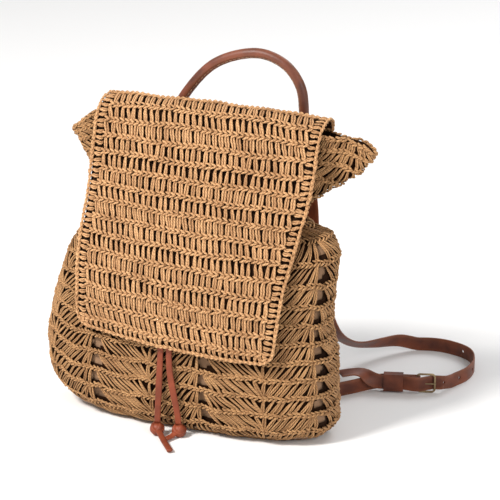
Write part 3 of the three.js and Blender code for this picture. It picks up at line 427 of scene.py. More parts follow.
laceEnds = dict(
    width=6.0,
    thickness=2.2,
    knotSize=14.0,
    knotSquash=0.82,
    seat=0.3,
    knot=dict(
        steps=36, axisOver=(0.42, -0.3, 0.86), over=5.4, axisUnder=(-0.6, -0.25, 0.76), under=4.7, core=5.6,
        wrapWide=3.5, wrapThick=1.8, tailWide=2.9, tailThick=1.5, floor=0.15,
    ),
    left=dict(
        route=[(-13.5, 4.5, 212), (-13.5, -6, 205), (-13.5, -23.5, 193), (-13, -35.8, 178),
               (-12.7, -42.2, 165.9), (-12.5, -47.6, 152), (-12.3, -52, 133.5), (-12, -55.2, 115),
               (-11.7, -57.1, 102.2), (-11.5, -58.6, 90), (-11.4, -60.1, 77.5), (-11.5, -61.5, 65),
               (-11.7, -62.6, 52.2), (-12, -63.5, 40), (-12.5, -64.5, 24), (-12.5, -65.5, 12.3)],
        tailEnd=(19.5, -102, 3),
    ),
    right=dict(
        route=[(22, 4.5, 212), (21.5, -7, 205), (19.9, -16.3, 199.5), (17.5, -25.2, 193),
               (12, -36.4, 178), (8.4, -42.6, 165.9), (5, -47.9, 152), (1.9, -52.2, 133.6),
               (-0.5, -55.2, 115), (-1.9, -57.1, 102.3), (-2.5, -58.6, 90), (-1.7, -60.2, 75.8),
               (0, -61.5, 62), (4.5, -63, 42), (7.5, -62.5, 26), (8.5, -61.5, 12.3)],
        tailEnd=(3, -79, 3),
    ),
)


# A tight overhand knot: two wraps round a core, each a tilted ring, then the tail. A ring is
# centre + radius * (cos * first + sin * second), with both directions square to its own axis.
def makeKnot(name, centre, tailEnd, material):
    spec = laceEnds["knot"]
    steps = spec["steps"]
    turn = np.linspace(0, 2 * np.pi, steps)[:, None]
    paths, outward, wide, thick = [], [], [], []
    heading = unit(tailEnd - centre)
    for axis, radius in ((spec["axisOver"], spec["over"]), (spec["axisUnder"], spec["under"])):
        axis = unit(np.array(axis) + 0.35 * heading * (axis[0] < 0))
        first = unit(np.cross(axis, (0, 1, 0)))
        second = np.cross(axis, first)
        radial = np.cos(turn) * first + np.sin(turn) * second
        paths.append(centre + radius * radial)
        outward.append(radial)
        wide.append(np.full(steps, spec["wrapWide"]) * (1 + 0.08 * np.cos(2 * turn[:, 0])))
        thick.append(np.full(steps, spec["wrapThick"]))
    rise = np.linspace(-1, 1, steps)
    paths.append(centre + np.outer(rise * spec["core"], (0, 0, 1.0)))
    outward.append(np.broadcast_to((0, -1.0, 0), (steps, 3)))
    girth = np.sqrt(np.clip(1 - (rise * 0.97) ** 2, 0, 1)) * spec["core"]
    wide.append(girth)
    thick.append(girth)
    half = (centre + tailEnd) / 2 + (0, 0, -1.0)
    tail = smoothPath([centre, centre + heading * spec["core"], half, tailEnd], count=steps)[0]
    paths.append(tail)
    outward.append(np.broadcast_to(unit(np.array([0.1, -0.3, 1.0])), (steps, 3)))
    wide.append(np.full(steps, spec["tailWide"]))
    thick.append(np.full(steps, spec["tailThick"]))
    piece = cordMesh(name, *(np.array(a) for a in (paths, outward, wide, thick)), 12, [0.5] * 4, 0.75)
    place = np.empty(len(piece.data.vertices) * 3, dtype=np.float32)
    piece.data.vertices.foreach_get("co", place)
    place[2::3] = np.maximum(place[2::3], spec["floor"] * mm)
    piece.data.vertices.foreach_set("co", place)
    return piece


def makeLaces(looks):
    for side in ("left", "right"):
        spec = laceEnds[side]
        route = np.array(spec["route"], float)
        path, at, knots = smoothPath(route, step=3.0)
        facing = np.zeros_like(path)
        facing[:, 1] = -1.0
        facing[:, 2] = np.interp(at, knots, np.where(np.arange(len(route)) > len(route) - 4, 0.6, 0.0))
        facing[:, 0] = 0.12 * np.sin(at / 26.0)
        half = laceEnds["width"] / 2 * (1.06 + 0.04 * np.sin(at / 9.0))
        lace = cordMesh(f"laceEnd_{side}", path[None], unit(facing)[None], half[None], laceEnds["thickness"] / 2, 12, [0.4], 0.6)
        finish(lace, looks["lace"], "lace_leather", f"lace_{side}")
        heading = unit(path[-1] - path[-2])
        centre = path[-1] + heading * (laceEnds["knotSize"] / 2 * laceEnds["knotSquash"] + laceEnds["seat"])
        knot = makeKnot(f"laceKnot_{side}", centre, np.array(spec["tailEnd"], float), looks["lace"])
        finish(knot, looks["lace"], "lace_leather", f"knot_{side}")


# ---- the pouch ----

pouch = dict(
    width=310.0, depth=108.0, height=300.0, gatherDepth=4.4, liftPower=6, columns=48, neck=214.0,
    wall=3.0, shells=6, postsPerShell=21, cord=1.3, firstRidge=14.5, rowHeight=18.0, rows=10,
)
# level, liftLeft, liftRight, left, right, front, back, square, gather, sag: one row a section
pouchSections = np.array([
    (0.0, 0, 0, 0.76, 0.84, -0.75, 0.8, 2.5, 0, 0),
    (0.018, 0.045, 0.006, 0.91, 0.915, -0.91, 0.92, 2.6, 0, 0),
    (0.067, 0.07, 0.01, 1.01, 0.955, -1.02, 0.98, 2.8, 0, 0),
    (0.15, 0.06, 0.006, 1.03, 0.95, -1.05, 1.0, 2.8, 0, 0),
    (0.267, 0.04, 0, 1.01, 0.935, -1.03, 1.0, 2.8, 0, 0),
    (0.4, 0.02, -0.006, 0.965, 0.9, -0.96, 0.99, 2.7, 0, 0),
    (0.5, 0, 0, 0.92, 0.92, -0.84, 0.98, 2.6, 0.05, 0),
    (0.583, -0.006, 0.02, 0.85, 0.93, -0.64, 0.96, 2.5, 0.15, 0),
    (0.64, -0.013, 0.027, 0.76, 0.87, -0.4, 0.94, 2.4, 0.35, 0),
    (0.68, -0.02, 0.003, 0.67, 0.72, -0.1, 0.92, 2.2, 0.75, 0),
    (0.713, -0.02, -0.004, 0.615, 0.625, 0.13, 0.9, 2.1, 1, 0),
    (0.76, -0.02, -0.01, 0.73, 0.66, 0.24, 0.93, 2, 0.95, 0),
    (0.817, -0.02, -0.025, 0.87, 0.78, 0.36, 0.96, 2, 0.7, 0.01),
    (0.907, -0.053, -0.03, 0.965, 1.01, 0.48, 0.97, 2, 0.5, 0.025),
    (1.0, -0.11, -0.063, 1.0, 1.09, 0.52, 0.98, 2, 0.55, 0.045),
])
perColumn = 6  # samples for each column of the looked-up surface
levelStep = 2.0


# The pouch's outer face on a fine grid. At each height the outline is a superellipse with its
# own left and right reach; its points are spread evenly by length, pushed in and out by the
# folds, and lifted towards the two ends.
def pouchGrid():
    spec = pouch
    height = np.arange(0, spec["height"] + 0.1, levelStep)
    column = lambda k: curveAt(pouchSections[:, 0], pouchSections[:, k], height / spec["height"])[:, None]
    halfW, halfD = spec["width"] / 2, spec["depth"] / 2
    left, right = column(3) * halfW, column(4) * halfW
    front, back = column(5) * halfD, column(6) * halfD
    middle, half, power = (front + back) / 2, (back - front) / 2, 2 / column(7)
    plans = []
    for start in (0, np.pi):
        angle = np.linspace(start, start + np.pi, 241)[None, :]
        c, s = np.cos(angle), np.sin(angle)
        reach = np.where(c > 0, right, left)
        x = np.sign(c) * reach * np.abs(c) ** power
        y = middle + np.sign(s) * half * np.abs(s) ** power
        far = np.concatenate([np.zeros((len(height), 1)), np.cumsum(np.hypot(np.diff(x), np.diff(y)), axis=1)], axis=1)
        share = np.arange(24 * perColumn) / (24 * perColumn)
        even = [np.stack([np.interp(share * f[-1], f, xx), np.interp(share * f[-1], f, yy)], -1) for f, xx, yy in zip(far, x, y)]
        plans.append(np.array(even))
    plan = np.concatenate(plans, axis=1)
    c = np.arange(48 * perColumn) / perColumn
    around = np.roll(plan, -1, axis=1) - np.roll(plan, 1, axis=1)
    outward = unit(np.stack([around[..., 1], -around[..., 0]], -1))
    fold = np.clip(1.5 * np.cos(np.pi / 2 * (c - 0.5)), -1, 1)[None, :] * column(8) * spec["gatherDepth"]
    share = np.where(plan[..., 0] > 0, plan[..., 0] / right, -plan[..., 0] / left)
    lift = np.where(plan[..., 0] > 0, column(2), column(1)) * spec["height"]
    flat = 1 - np.minimum(1, share**2)
    z = height[:, None] + lift * share ** spec["liftPower"] - column(9) * spec["height"] * flat**2
    points = np.concatenate([plan + outward * fold[..., None], z[..., None]], axis=-1)
    normals = unit(np.cross(np.roll(points, -1, axis=1) - np.roll(points, 1, axis=1), np.gradient(points, axis=0)))
    girth = np.linalg.norm(np.roll(points, -1, axis=1) - points, axis=-1).sum(axis=1)
    return points, normals, girth


pouchPoints, pouchNormals, pouchGirth = pouchGrid()


# Looks a place up on the grid: the point at a column and height, depth millimetres off the face.
def onPouch(column, height, depth=0.0):
    c = np.mod(column, 48) * perColumn
    h = np.clip(height / levelStep, 0, len(pouchPoints) - 1.001)
    i, j = np.floor(h).astype(int), np.floor(c).astype(int)
    s, t = (h - i)[..., None], (c - j)[..., None]
    j, j2 = j % (48 * perColumn), (j + 1) % (48 * perColumn)
    blend = lambda g: (g[i, j] * (1 - t) + g[i, j2] * t) * (1 - s) + (g[i + 1, j] * (1 - t) + g[i + 1, j2] * t) * s
    normal = unit(blend(pouchNormals))
    wobble = 0.7 * np.sin(column * 1.9 + height / 17) + 0.5 * np.sin(column * 3.3 - height / 9)
    return blend(pouchPoints) + normal * (np.asarray(depth) + wobble)[..., None], normal


def columnSize(height):
    return np.interp(height, np.arange(len(pouchGirth)) * levelStep, pouchGirth) / 48


# Signed distance, in columns, from the foot of the shell that a place belongs to: -4 to 4.
def fromShellFoot(column):
    return np.mod(column - 2.5 + 4, 8) - 4


# How far a stitch leans for its height: it fans out from the shell's foot, and stands up again
# beside the eyelets. lean = top * tanh(p / 0.5) * (1 - 0.8 * ease), p the columns from the foot.
def leanAt(column):
    p = fromShellFoot(column)
    ease = np.clip((np.abs(p) - 2.7) / 1.1, 0, 1)
    return 1.12 * np.tanh(p / 0.5) * (1 - 0.8 * ease * ease * (3 - 2 * ease))


# One tall stitch as three cords: two that part like a narrow leaf, sideways = +-spread * sin(pi t),
# or cross, sideways = +-spread * cos(pi t), by the row's twist; and one between them, deeper.
def leafShape(count, pitch, length, lean, radius, twist, depth):
    t = np.linspace(0, 1, 6)[None, None, :]
    side = np.array([-1.0, 1.0, 0.0])[None, :, None]
    jitter = rng.uniform(-0.5, 0.5, (count, 3, 1))
    bow = np.sin(np.pi * np.clip(t * 0.92 + 0.06, 0, 1)) ** 0.6
    spread = pitch * 0.235 + 0.4 * jitter
    part = side * spread * (bow * (1 - twist) + np.cos(np.pi * t) * twist)
    sway = rng.uniform(0.2, 1.1, (count, 1, 1))
    hook = -1.7 * t**4 + 1.2 * (1 - t) ** 3 + sway * np.sin(2 * np.pi * t)
    along = part + lean * length * (t - 0.5) + hook
    cross = side * (0.5 * np.cos(np.pi * t) * (1 - twist) + 0.8 * np.sin(np.pi * t) * twist)
    deep = depth + 1.3 * np.sin(np.pi * t) ** 0.8 + cross + 0.5 * jitter - 1.1 * (side == 0)
    slim = (1 + np.asarray(lean) ** 2) ** -0.42
    wide = radius * slim * (0.78 + 0.34 * np.sin(np.pi * t)) * (1 + 0.3 * jitter)
    # The middle cord's tone is 0, which the cord material turns into painted shade on this deeper cord.
    tone = rng.uniform(0.25, 1.0, (count, 3)) * np.array([1.0, 1.0, 0.0])
    return along, t, deep, wide, tone


# One chain stitch as two short cords that lean together into a V, along = t * span and
# off = +-rise * (1 - t)^0.7, the upper one lying over the lower.
def chainShape(count, pitch, radius, rise, depth):
    t = np.linspace(0, 1, 5)[None, None, :]
    side = np.array([-1.0, 1.0])[None, :, None]
    jitter = rng.uniform(-0.5, 0.5, (count, 2, 1))
    along = (t * 1.2 - 0.6) * pitch + 0.5 * jitter
    off = side * (rise * (1 - t) ** 0.7 - 0.5) + 0.9 * jitter
    deep = depth + 1.3 * np.sin(np.pi * t) ** 0.8 + 0.35 * side * (1 - 2 * t)
    wide = radius * (0.76 + 0.34 * np.sin(np.pi * t)) * (1 + 0.3 * jitter)
    tone = rng.uniform(0.35, 1.0, (count, 2))
    return along, off, deep, wide, tone


# Strips the two leading axes of stitch and cord down to one.
def packCords(points, normals, wide, tone):
    flat = lambda a: a.reshape(-1, *a.shape[2:])
    return flat(points), flat(normals), flat(np.broadcast_to(wide, points.shape[:3])), tone.ravel()


def pouchPosts(low, high, lean, count, skip, radius, twist=0.0, depth=-1.5):
    m = (np.arange(count) + rng.uniform(-0.16, 0.16, count)) * 48 / count
    if skip is not None:
        m = m[np.abs(np.mod(m - 6.5 + 4, 8) - 4) > skip]
    size = columnSize((low + high) / 2)
    pitch = size * 48 / count
    slope = (leanAt(m) * lean + rng.uniform(-0.08, 0.08, len(m)))[:, None, None]
    along, t, deep, wide, tone = leafShape(len(m), pitch, high - low, slope, min(radius, pitch * 0.175), twist, depth)
    column = m[:, None, None] + along / size
    height = low + (high - low) * (t * 1.04 - 0.02) + np.zeros_like(column)
    points, normals = onPouch(column, height, deep)
    return packCords(points, normals, wide, tone)


def pouchRidge(height, count, radius, depth=-1.0, rise=3.0):
    m = (np.arange(count) + rng.uniform(-0.1, 0.1, count)) * 48 / count
    size = columnSize(height)
    pitch = size * 48 / count
    along, off, deep, wide, tone = chainShape(count, pitch, min(radius, pitch * 0.23), rise, depth)
    wave = (0.9 * np.sin(m * 1.7) + 0.6 * np.sin(m * 4.1 + height))[:, None, None]
    column = m[:, None, None] + along / size
    points, normals = onPouch(column, height + wave + off, deep + 0 * column)
    return packCords(points, normals, wide, tone)


def joinCords(name, parts, sides):
    steps = sorted({p[0].shape[1] for p in parts})
    most = steps[-1]
    done = []
    for points, normals, wide, tone in parts:
        if points.shape[1] < most:
            at = np.linspace(0, points.shape[1] - 1, most)
            i = np.minimum(at.astype(int), points.shape[1] - 2)
            f = (at - i)[None, :, None]
            points = points[:, i] * (1 - f) + points[:, i + 1] * f
            normals = normals[:, i] * (1 - f) + normals[:, i + 1] * f
            wide = wide[:, i] * (1 - f[..., 0]) + wide[:, i + 1] * f[..., 0]
        done.append((points, normals, wide, tone))
    points, normals, wide, tone = (np.concatenate([d[k] for d in done]) for k in range(4))
    return cordMesh(name, points, normals, wide, wide * 0.92, sides, tone)


def ridgeHeights():
    first, step, rows = pouch["firstRidge"], pouch["rowHeight"], pouch["rows"]
    return [first + step * k for k in range(rows + 1)]


def makePouch(looks):
    count = pouch["shells"] * pouch["postsPerShell"]
    chainCount = int(count * 1.25)
    cord = pouch["cord"]
    ridges = ridgeHeights()
    twists = [0.0, 0.3, 0.1, 0.4, 0.2]
    bottom = [pouchPosts(2.0, ridges[0], 0.8, count, None, cord, 0.5, -2.0)]
    rows = [
        pouchPosts(low, high, 1.0, count, 0.36, cord, twists[k % 5])
        for k, (low, high) in enumerate(zip(ridges[:-1], ridges[1:]))
    ]
    chains = [pouchRidge(height, chainCount, cord * 0.9) for height in ridges]
    finish(joinCords("pouchRows_lower", bottom + rows[:4], 5), looks["pouch"], "straw", "straw_pouch")
    finish(joinCords("pouchRows_upper", rows[4:], 5), looks["pouch"], "straw", "straw_pouch")
    finish(joinCords("pouchChains", chains, 5), looks["pouch"], "straw", "straw_pouch")
    levels = [(ridges[-1], 205.5), (222.5, 238.0), (238.0, 254.0), (254.0, 269.5), (269.5, 284.5), (284.5, 297.0)]
    neckRows = [pouchPosts(low, high, 0.6, count, None, cord, twists[k % 5]) for k, (low, high) in enumerate(levels)]
    neckChains = [pouchRidge(h, count, cord * 0.9) for h in (206.5, 222.0, 238.0, 254.0, 269.5, 284.5, 297.5)]
    finish(joinCords("ruffleRows", neckRows, 5), looks["pouch"], "straw", "straw_pouch")
    finish(joinCords("ruffleChains", neckChains, 5), looks["pouch"], "straw", "straw_pouch")
    print("stage: pouch stitches made")
    makePouchShadeSheet(looks)
    makeBase(looks)


# A near-black sheet in the middle of the wall, painted shade seen through the gaps between the
# stitches, open at the eyelets and at the drawstring's slots.
def makePouchShadeSheet(looks):
    column = np.arange(0, 48, 0.25)
    height = np.concatenate([np.arange(0.5, 205, 2.5), np.arange(205, 224, 2.0), np.arange(224, 299, 3.0), [299]])
    c, h = np.meshgrid(column, height)
    points, _ = onPouch(c, h, np.full(c.shape, -3.0))
    points[0, :, 2] = 1.9
    cMid, hMid = np.meshgrid(column + 0.125, (height[:-1] + height[1:]) / 2)
    away = np.mod(cMid - 6.5 + 4, 8) - 4
    row = np.mod(hMid - 20.0, pouch["rowHeight"]) - 4.5
    inRows = (hMid > 18) & (hMid < 200)
    hole = inRows & ((away / 0.48) ** 2 + ((row + 0.5) / 6.0) ** 2 < 1)
    fold = lambda v: np.cos(np.pi / 2 * (v - 0.5))
    slot = (np.abs(hMid - pouch["neck"]) < 5.5) & (np.abs(fold(cMid)) < 0.6)
    core = gridMesh("pouchShadeSheet", points, ~(hole | slot), closed=True)
    finish(core, looks["core"], "straw", "straw_pouch")


# Rounds of chain stitches on the underside, each a smaller copy of the outline of the base.
def makeBase(looks):
    rounds, parts = 9, []
    centre = np.array([4.0, 1.0, 0.0])
    c0 = np.arange(48 * 3) / 3
    for k in range(rounds):
        scale = 0.99 - k * 0.105
        ring, _ = onPouch(c0, np.full(c0.shape, 0.5))
        ring = centre + (ring - centre) * scale
        ring[:, 2] = 0
        far = np.linalg.norm(np.roll(ring, -1, axis=0) - ring, axis=1)
        total = far.sum()
        count = max(12, int(total / 7.0))
        at = np.concatenate([[0], np.cumsum(far)])
        closed = np.concatenate([ring, ring[:1]])
        place = lambda s: np.stack([np.interp(np.mod(s, total), at, closed[:, q]) for q in range(3)], -1)
        m = np.arange(count)[:, None, None] * total / count
        t = np.linspace(0, 1, 5)[None, None, :]
        side = np.array([-1.0, 1.0])[None, :, None]
        s = m + (t * 1.35 - 0.2) * total / count + 0 * side
        p = place(s)
        inward = unit(centre - p)
        p = p + inward * (side * 2.6 * (1 - 0.5 * t) + 3.0)[..., None]
        p[..., 2] = 1.75 - 0.3 * np.sin(np.pi * t[0, 0])
        normal = np.zeros_like(p)
        normal[..., 2] = -1
        flat = lambda a: a.reshape(-1, *a.shape[2:])
        wide = 1.4 * (0.8 + 0.3 * np.sin(np.pi * t)) + 0 * s
        parts.append((flat(p), flat(normal), flat(wide), rng.random(count * 2)))
    finish(joinCords("baseRounds", parts, 5), looks["pouch"], "straw", "straw_pouch")
    # A near-black sheet above the rounds: painted shade seen through the gaps in the base.
    share = np.linspace(1.0, 0.02, 24)[:, None, None]
    ring, _ = onPouch(np.arange(96) / 2, np.full(96, 0.5))
    ring[:, 2] = 2.6
    middle = np.array([4.0, 1.0, 2.6])
    floor = gridMesh("baseShadeSheet", middle + (ring[None] - middle) * share, closed=True, flip=True)
    finish(floor, looks["core"], "straw", "straw_pouch")


# The cloth bag inside, a little way in from the wall.
def makeLining(looks):
    column = np.arange(0, 48, 0.5)
    height = np.concatenate([np.arange(4.0, 202.1, 3.0)])
    c, h = np.meshgrid(column, height)
    gather = curveAt(pouchSections[:, 0], pouchSections[:, 8], h / pouch["height"]) * pouch["gatherDepth"]
    crease = 0.35 * np.sin(c * 2.1 + h / 23.0) + 0.3 * np.sin(c * 0.9 - h / 15.0)
    base, normal = onPouch(c, h)
    flat = curveAt(pouchSections[:, 0], pouchSections[:, 8], h / pouch["height"])
    fold = np.clip(1.5 * np.cos(np.pi / 2 * (c - 0.5)), -1, 1) * flat * pouch["gatherDepth"]
    points = base - normal * (4.4 + gather + fold * 0.8 + crease)[..., None]
    points[0, :, 2] = 4.2
    middle = np.array([4.0, 1.0, 4.2])
    share = np.linspace(0.02, 1.0, 12)[:, None, None]
    floor = middle + (points[0][None] - middle) * share[:-1]
    points = np.concatenate([floor, points])
    bag = gridMesh("liningBag", points, closed=True)
    thick = bag.modifiers.new("thickness", "SOLIDIFY")
    thick.thickness = 0.9 * mm
    thick.offset = -1
    finish(bag, looks["lining"], "lining_cloth", "pouch_lining")


# ---- the flap ----

flap = dict(
    width=248.0, sweepPower=2, clearance=3.6, lining=0.8, seat=0.3, thickness=3.0,
    rows=17, posts=33, border=12.0, cord=1.1, corner=15.0,
)
# up, place, wide, sweep, drop, tilt, clear: one row a station, from the sewn root to the hem
flapStations = np.array([
    (0.855, 0, 0.92, 0, 0, 0, 0),
    (0.925, 0, 0.94, 0, 0, 0, 0),
    (0.985, 0, 0.955, 0, 0.004, 0, 0),
    (1.013, 0.88, 0.96, 0.02, 0.008, 0, 0.2),
    (1.003, 0.64, 0.965, 0.02, 0.01, 0, 0.5),
    (0.955, 0.43, 0.97, 0.05, 0.008, 0, 1),
    (0.862, 0.2, 0.965, 0.11, 0, 0.002, 1),
    (0.758, -0.08, 0.945, 0.16, 0, 0.005, 1),
    (0.658, -0.43, 0.92, 0.2, 0, 0.008, 1),
    (0.573, -0.73, 0.9, 0.22, 0, 0.011, 1),
    (0.483, -0.93, 0.88, 0.2, 0, 0.014, 1),
    (0.388, -1.01, 0.86, 0.18, 0, 0.017, 1),
    (0.298, -1.05, 0.84, 0.18, -0.006, 0.02, 1),
])


# The three rows at the root lie against the back of the pouch, clear of its folds.
def rootPlaces():
    halfD = pouch["depth"] / 2
    level = np.minimum((flapStations[:3, 0] * pouch["height"] / levelStep), len(pouchPoints) - 1)
    reach = pouchPoints[np.round(level).astype(int), :, 1].max(axis=1)
    return (reach + 2 * flap["seat"]) / halfD


flapStations[:3, 1] = rootPlaces()


# The flap's inside on a fine grid of side (-1 to 1) and station, then its normals.
def flapGrid():
    station = np.linspace(0, len(flapStations) - 1, 241)[:, None]
    side = np.linspace(-1, 1, 81)[None, :]
    keys = np.arange(len(flapStations))
    at = lambda k: curveAt(keys, flapStations[:, k], station)
    edge = np.abs(side) ** flap["sweepPower"]
    x = side * at(2) * flap["width"] / 2
    y = (at(1) + at(3) * edge) * pouch["depth"] / 2
    z = (at(0) - at(4) * edge - at(5) * side) * pouch["height"]
    points = np.stack(np.broadcast_arrays(x, y, z), -1)
    normals = unit(np.cross(np.gradient(points, axis=0), np.gradient(points, axis=1)))
    clear = np.broadcast_to(at(6) * flap["clearance"], points.shape[:2])
    return points + normals * clear[..., None], normals


flapPoints, flapNormals = flapGrid()
flapLine = np.concatenate([[0], np.cumsum(np.linalg.norm(np.diff(flapPoints[:, 40], axis=0), axis=1))])
flapLength = flapLine[-1]
flapFace = flap["lining"] + flap["seat"] + flap["thickness"]


# A place on the flap: side from -1 to 1, run in millimetres from the root, depth off its face.
# Near the two lower corners the square of places is drawn in to a quarter circle.
def onFlap(side, run, depth=0.0):
    side, run = np.broadcast_arrays(np.asarray(side, float), np.asarray(run, float))
    radius, half = flap["corner"], halfAt(run)
    a = np.clip((np.abs(side) * half - half + radius) / radius, 0, None)
    b = np.clip((run - flapLength + radius) / radius, 0, None)
    pull = np.where(a * b > 0, np.maximum(a, b) / np.maximum(np.hypot(a, b), 1e-6), 1.0)
    side = side + np.sign(side) * a * (pull - 1) * radius / half
    run = run + b * (pull - 1) * radius
    a = np.clip((side + 1) * 40, 0, 79.999)
    b = np.clip(np.interp(run, flapLine, np.arange(241)), 0, 239.999)
    i, j = np.floor(b).astype(int), np.floor(a).astype(int)
    s, t = (b - i)[..., None], (a - j)[..., None]
    blend = lambda g: (g[i, j] * (1 - t) + g[i, j + 1] * t) * (1 - s) + (g[i + 1, j] * (1 - t) + g[i + 1, j + 1] * t) * s
    normal = unit(blend(flapNormals))
    wobble = 0.5 * np.sin(side * 9 + run / 19) + 0.4 * np.sin(side * 17 - run / 11)
    return blend(flapPoints) + normal * (np.asarray(depth) + flapFace + wobble)[..., None], normal


def halfAt(run):
    return np.interp(run, flapLine, np.linalg.norm(flapPoints[:, 80] - flapPoints[:, 40], axis=1))


# Rows of tall stitches on the flap, with a slow slant that changes from row to row.
def flapPosts(low, high, slant, twist):
    count = flap["posts"]
    half = halfAt((low + high) / 2)
    inner = 1 - flap["border"] / half
    m = ((np.arange(count) + 0.5 + rng.uniform(-0.09, 0.09, count)) / count * 2 - 1) * inner
    pitch = 2 * half * inner / count
    lean = slant + rng.uniform(-0.06, 0.06, (count, 1, 1))
    along, t, deep, wide, tone = leafShape(count, pitch, high - low, lean, flap["cord"], twist, -1.7)
    run = high - (high - low) * (t * 1.04 - 0.02) + np.zeros_like(along)
    points, normals = onFlap(m[:, None, None] + along / half, run, deep)
    return packCords(points, normals, wide, tone)


# Chains of V stitches along a line on the flap. The line gives side, run and its own place; off
# goes down the flap (0, 1) or out to a side (1, 0).
def flapChain(places, across, pitch, radius, rise, depth=-0.9):
    far = np.concatenate([[0], np.cumsum(np.linalg.norm(np.diff(places[:, 2:5], axis=0), axis=1))])
    count = max(2, int(far[-1] / pitch))
    m = ((np.arange(count) + 0.5 + rng.uniform(-0.1, 0.1, count)) / count * far[-1])[:, None, None]
    along, off, deep, wide, tone = chainShape(count, pitch, radius, rise, depth)
    sideAt = np.interp(m + along, far, places[:, 0])
    runAt = np.interp(m + along, far, places[:, 1])
    points, normals = onFlap(sideAt + across[0] * off / halfAt(runAt), runAt + across[1] * off, deep + 0 * runAt)
    return packCords(points, normals, wide, tone)


# The border's stitches: tall ones that stand square to the edge, from the inner line out.
def flapFringe(places, across, pitch, inside, outside, slant):
    far = np.concatenate([[0], np.cumsum(np.linalg.norm(np.diff(places[:, 2:5], axis=0), axis=1))])
    count = max(2, int(far[-1] / pitch))
    m = ((np.arange(count) + 0.5 + rng.uniform(-0.15, 0.15, count)) / count * far[-1])[:, None, None]
    length = inside - outside
    lean = slant + rng.uniform(-0.15, 0.15, (count, 1, 1))
    along, t, deep, wide, tone = leafShape(count, pitch, length, lean, flap["cord"] * 0.95, 0.3, -1.6)
    sideAt = np.interp(m + along, far, places[:, 0])
    runAt = np.interp(m + along, far, places[:, 1])
    off = -inside + length * t
    points, normals = onFlap(sideAt + across[0] * off / halfAt(runAt), runAt + across[1] * off, deep + 0 * runAt)
    return packCords(points, normals, wide, tone)


# The middle of a line on the flap, as side, run and its three coordinates.
def flapTrack(side, run):
    side, run = np.broadcast_arrays(np.asarray(side, float), np.asarray(run, float))
    return np.concatenate([side[:, None], run[:, None], onFlap(side, run)[0]], axis=1)


def makeFlap(looks):
    rows, border, cord = flap["rows"], flap["border"], flap["cord"]
    edges = np.linspace(3.0, flapLength - border, rows + 1)
    slants = 0.12 * np.cos(np.arange(rows) * 0.9) + 0.06
    twists = [0.0, 0.2, 0.4, 0.1, 0.3]
    posts = [flapPosts(edges[k], edges[k + 1], slants[k], twists[k % 5]) for k in range(rows)]
    finish(joinCords("flapRows", posts, 5), looks["flap"], "straw", "straw_flap")
    across = np.linspace(-1, 1, 60)
    chains = []
    for run in edges:
        inner = 1 - (border - 1.0) / halfAt(run)
        line = flapTrack(across * inner, run + 0.7 * np.sin(across * 7 + run))
        chains.append(flapChain(line, (0, 1), 5.6, cord * 1.02, 3.4))
    finish(joinCords("flapChains", chains, 5), looks["flap"], "straw", "straw_flap")
    down = np.linspace(1.0, flapLength - 2.0, 160)
    trim = []
    for sign in (-1, 1):
        edge = flapTrack(np.full(len(down), float(sign)), down)
        trim.append(flapFringe(edge, (sign, 0), 5.4, border, 2.6, 0.4))
        rim = flapTrack(sign * (1 - 1.7 / halfAt(down)), down)
        trim.append(flapChain(rim, (sign, 0), 4.8, cord * 0.95, 1.7, -1.1))
    low = flapTrack(across * (1 - 3.0 / halfAt(flapLength)), flapLength)
    trim.append(flapFringe(low, (0, 1), 5.6, border, 2.6, 0.6))
    rim = flapTrack(across * (1 - 2.0 / halfAt(flapLength)), flapLength - 1.7)
    trim.append(flapChain(rim, (0, 1), 4.8, cord * 0.95, 1.7, -1.1))
    finish(joinCords("flapBorder", trim, 5), looks["flap"], "straw", "straw_flap")
    # A near-black sheet in the middle of the flap: painted shade seen through the gaps between the stitches.
    side, run = np.meshgrid(np.linspace(-0.985, 0.985, 60), np.linspace(0.5, flapLength - 1.0, 110))
    points, _ = onFlap(side, run, np.full(side.shape, -3.0))
    sheet = gridMesh("flapShadeSheet", points, flip=True)
    finish(sheet, looks["core"], "straw", "straw_flap")
    print("stage: flap stitches made")


def makeFlapLining(looks):
    margin = 9.0 / 118.0
    side, run = np.meshgrid(np.linspace(-1 + margin, 1 - margin, 50), np.linspace(10.0, flapLength - 14.0, 100))
    wave = 0.25 * np.sin(side * 9 + run / 21.0)
    points, _ = onFlap(side, run, -flapFace + 0.4 + wave * 0.5)
    cloth = gridMesh("flapLiningCloth", points, flip=True)
    thick = cloth.modifiers.new("thickness", "SOLIDIFY")
    thick.thickness = 0.7 * mm
    thick.offset = 0
    finish(cloth, looks["lining"], "lining_cloth", "flap_lining")


# ---- leather ----

leather = dict(
    thickness=2.0, strapWidth=15.0, seat=0.3, holeWide=3.2, holeSpacing=27.0, holeCount=5,
    patchWidth=30.0, patchHeight=52.0, patchTop=286.0, reach=200.0,
)
handle = dict(diameter=10.0, span=139.0, rise=93.0, shift=11.5)
buckle = dict(length=18.0, height=21.0, wire=2.2, prong=1.6, keeperLength=20.0, keeperPlace=14.0, keeperWall=1.3, foldBack=26.0)
handleArch = np.array([
    (-0.5, 0), (-0.485, 0.28), (-0.38, 0.55), (-0.2, 0.83), (0.02, 0.975),
    (0.2, 1.0), (0.37, 0.9), (0.475, 0.7), (0.505, 0.45), (0.5, 0),
])
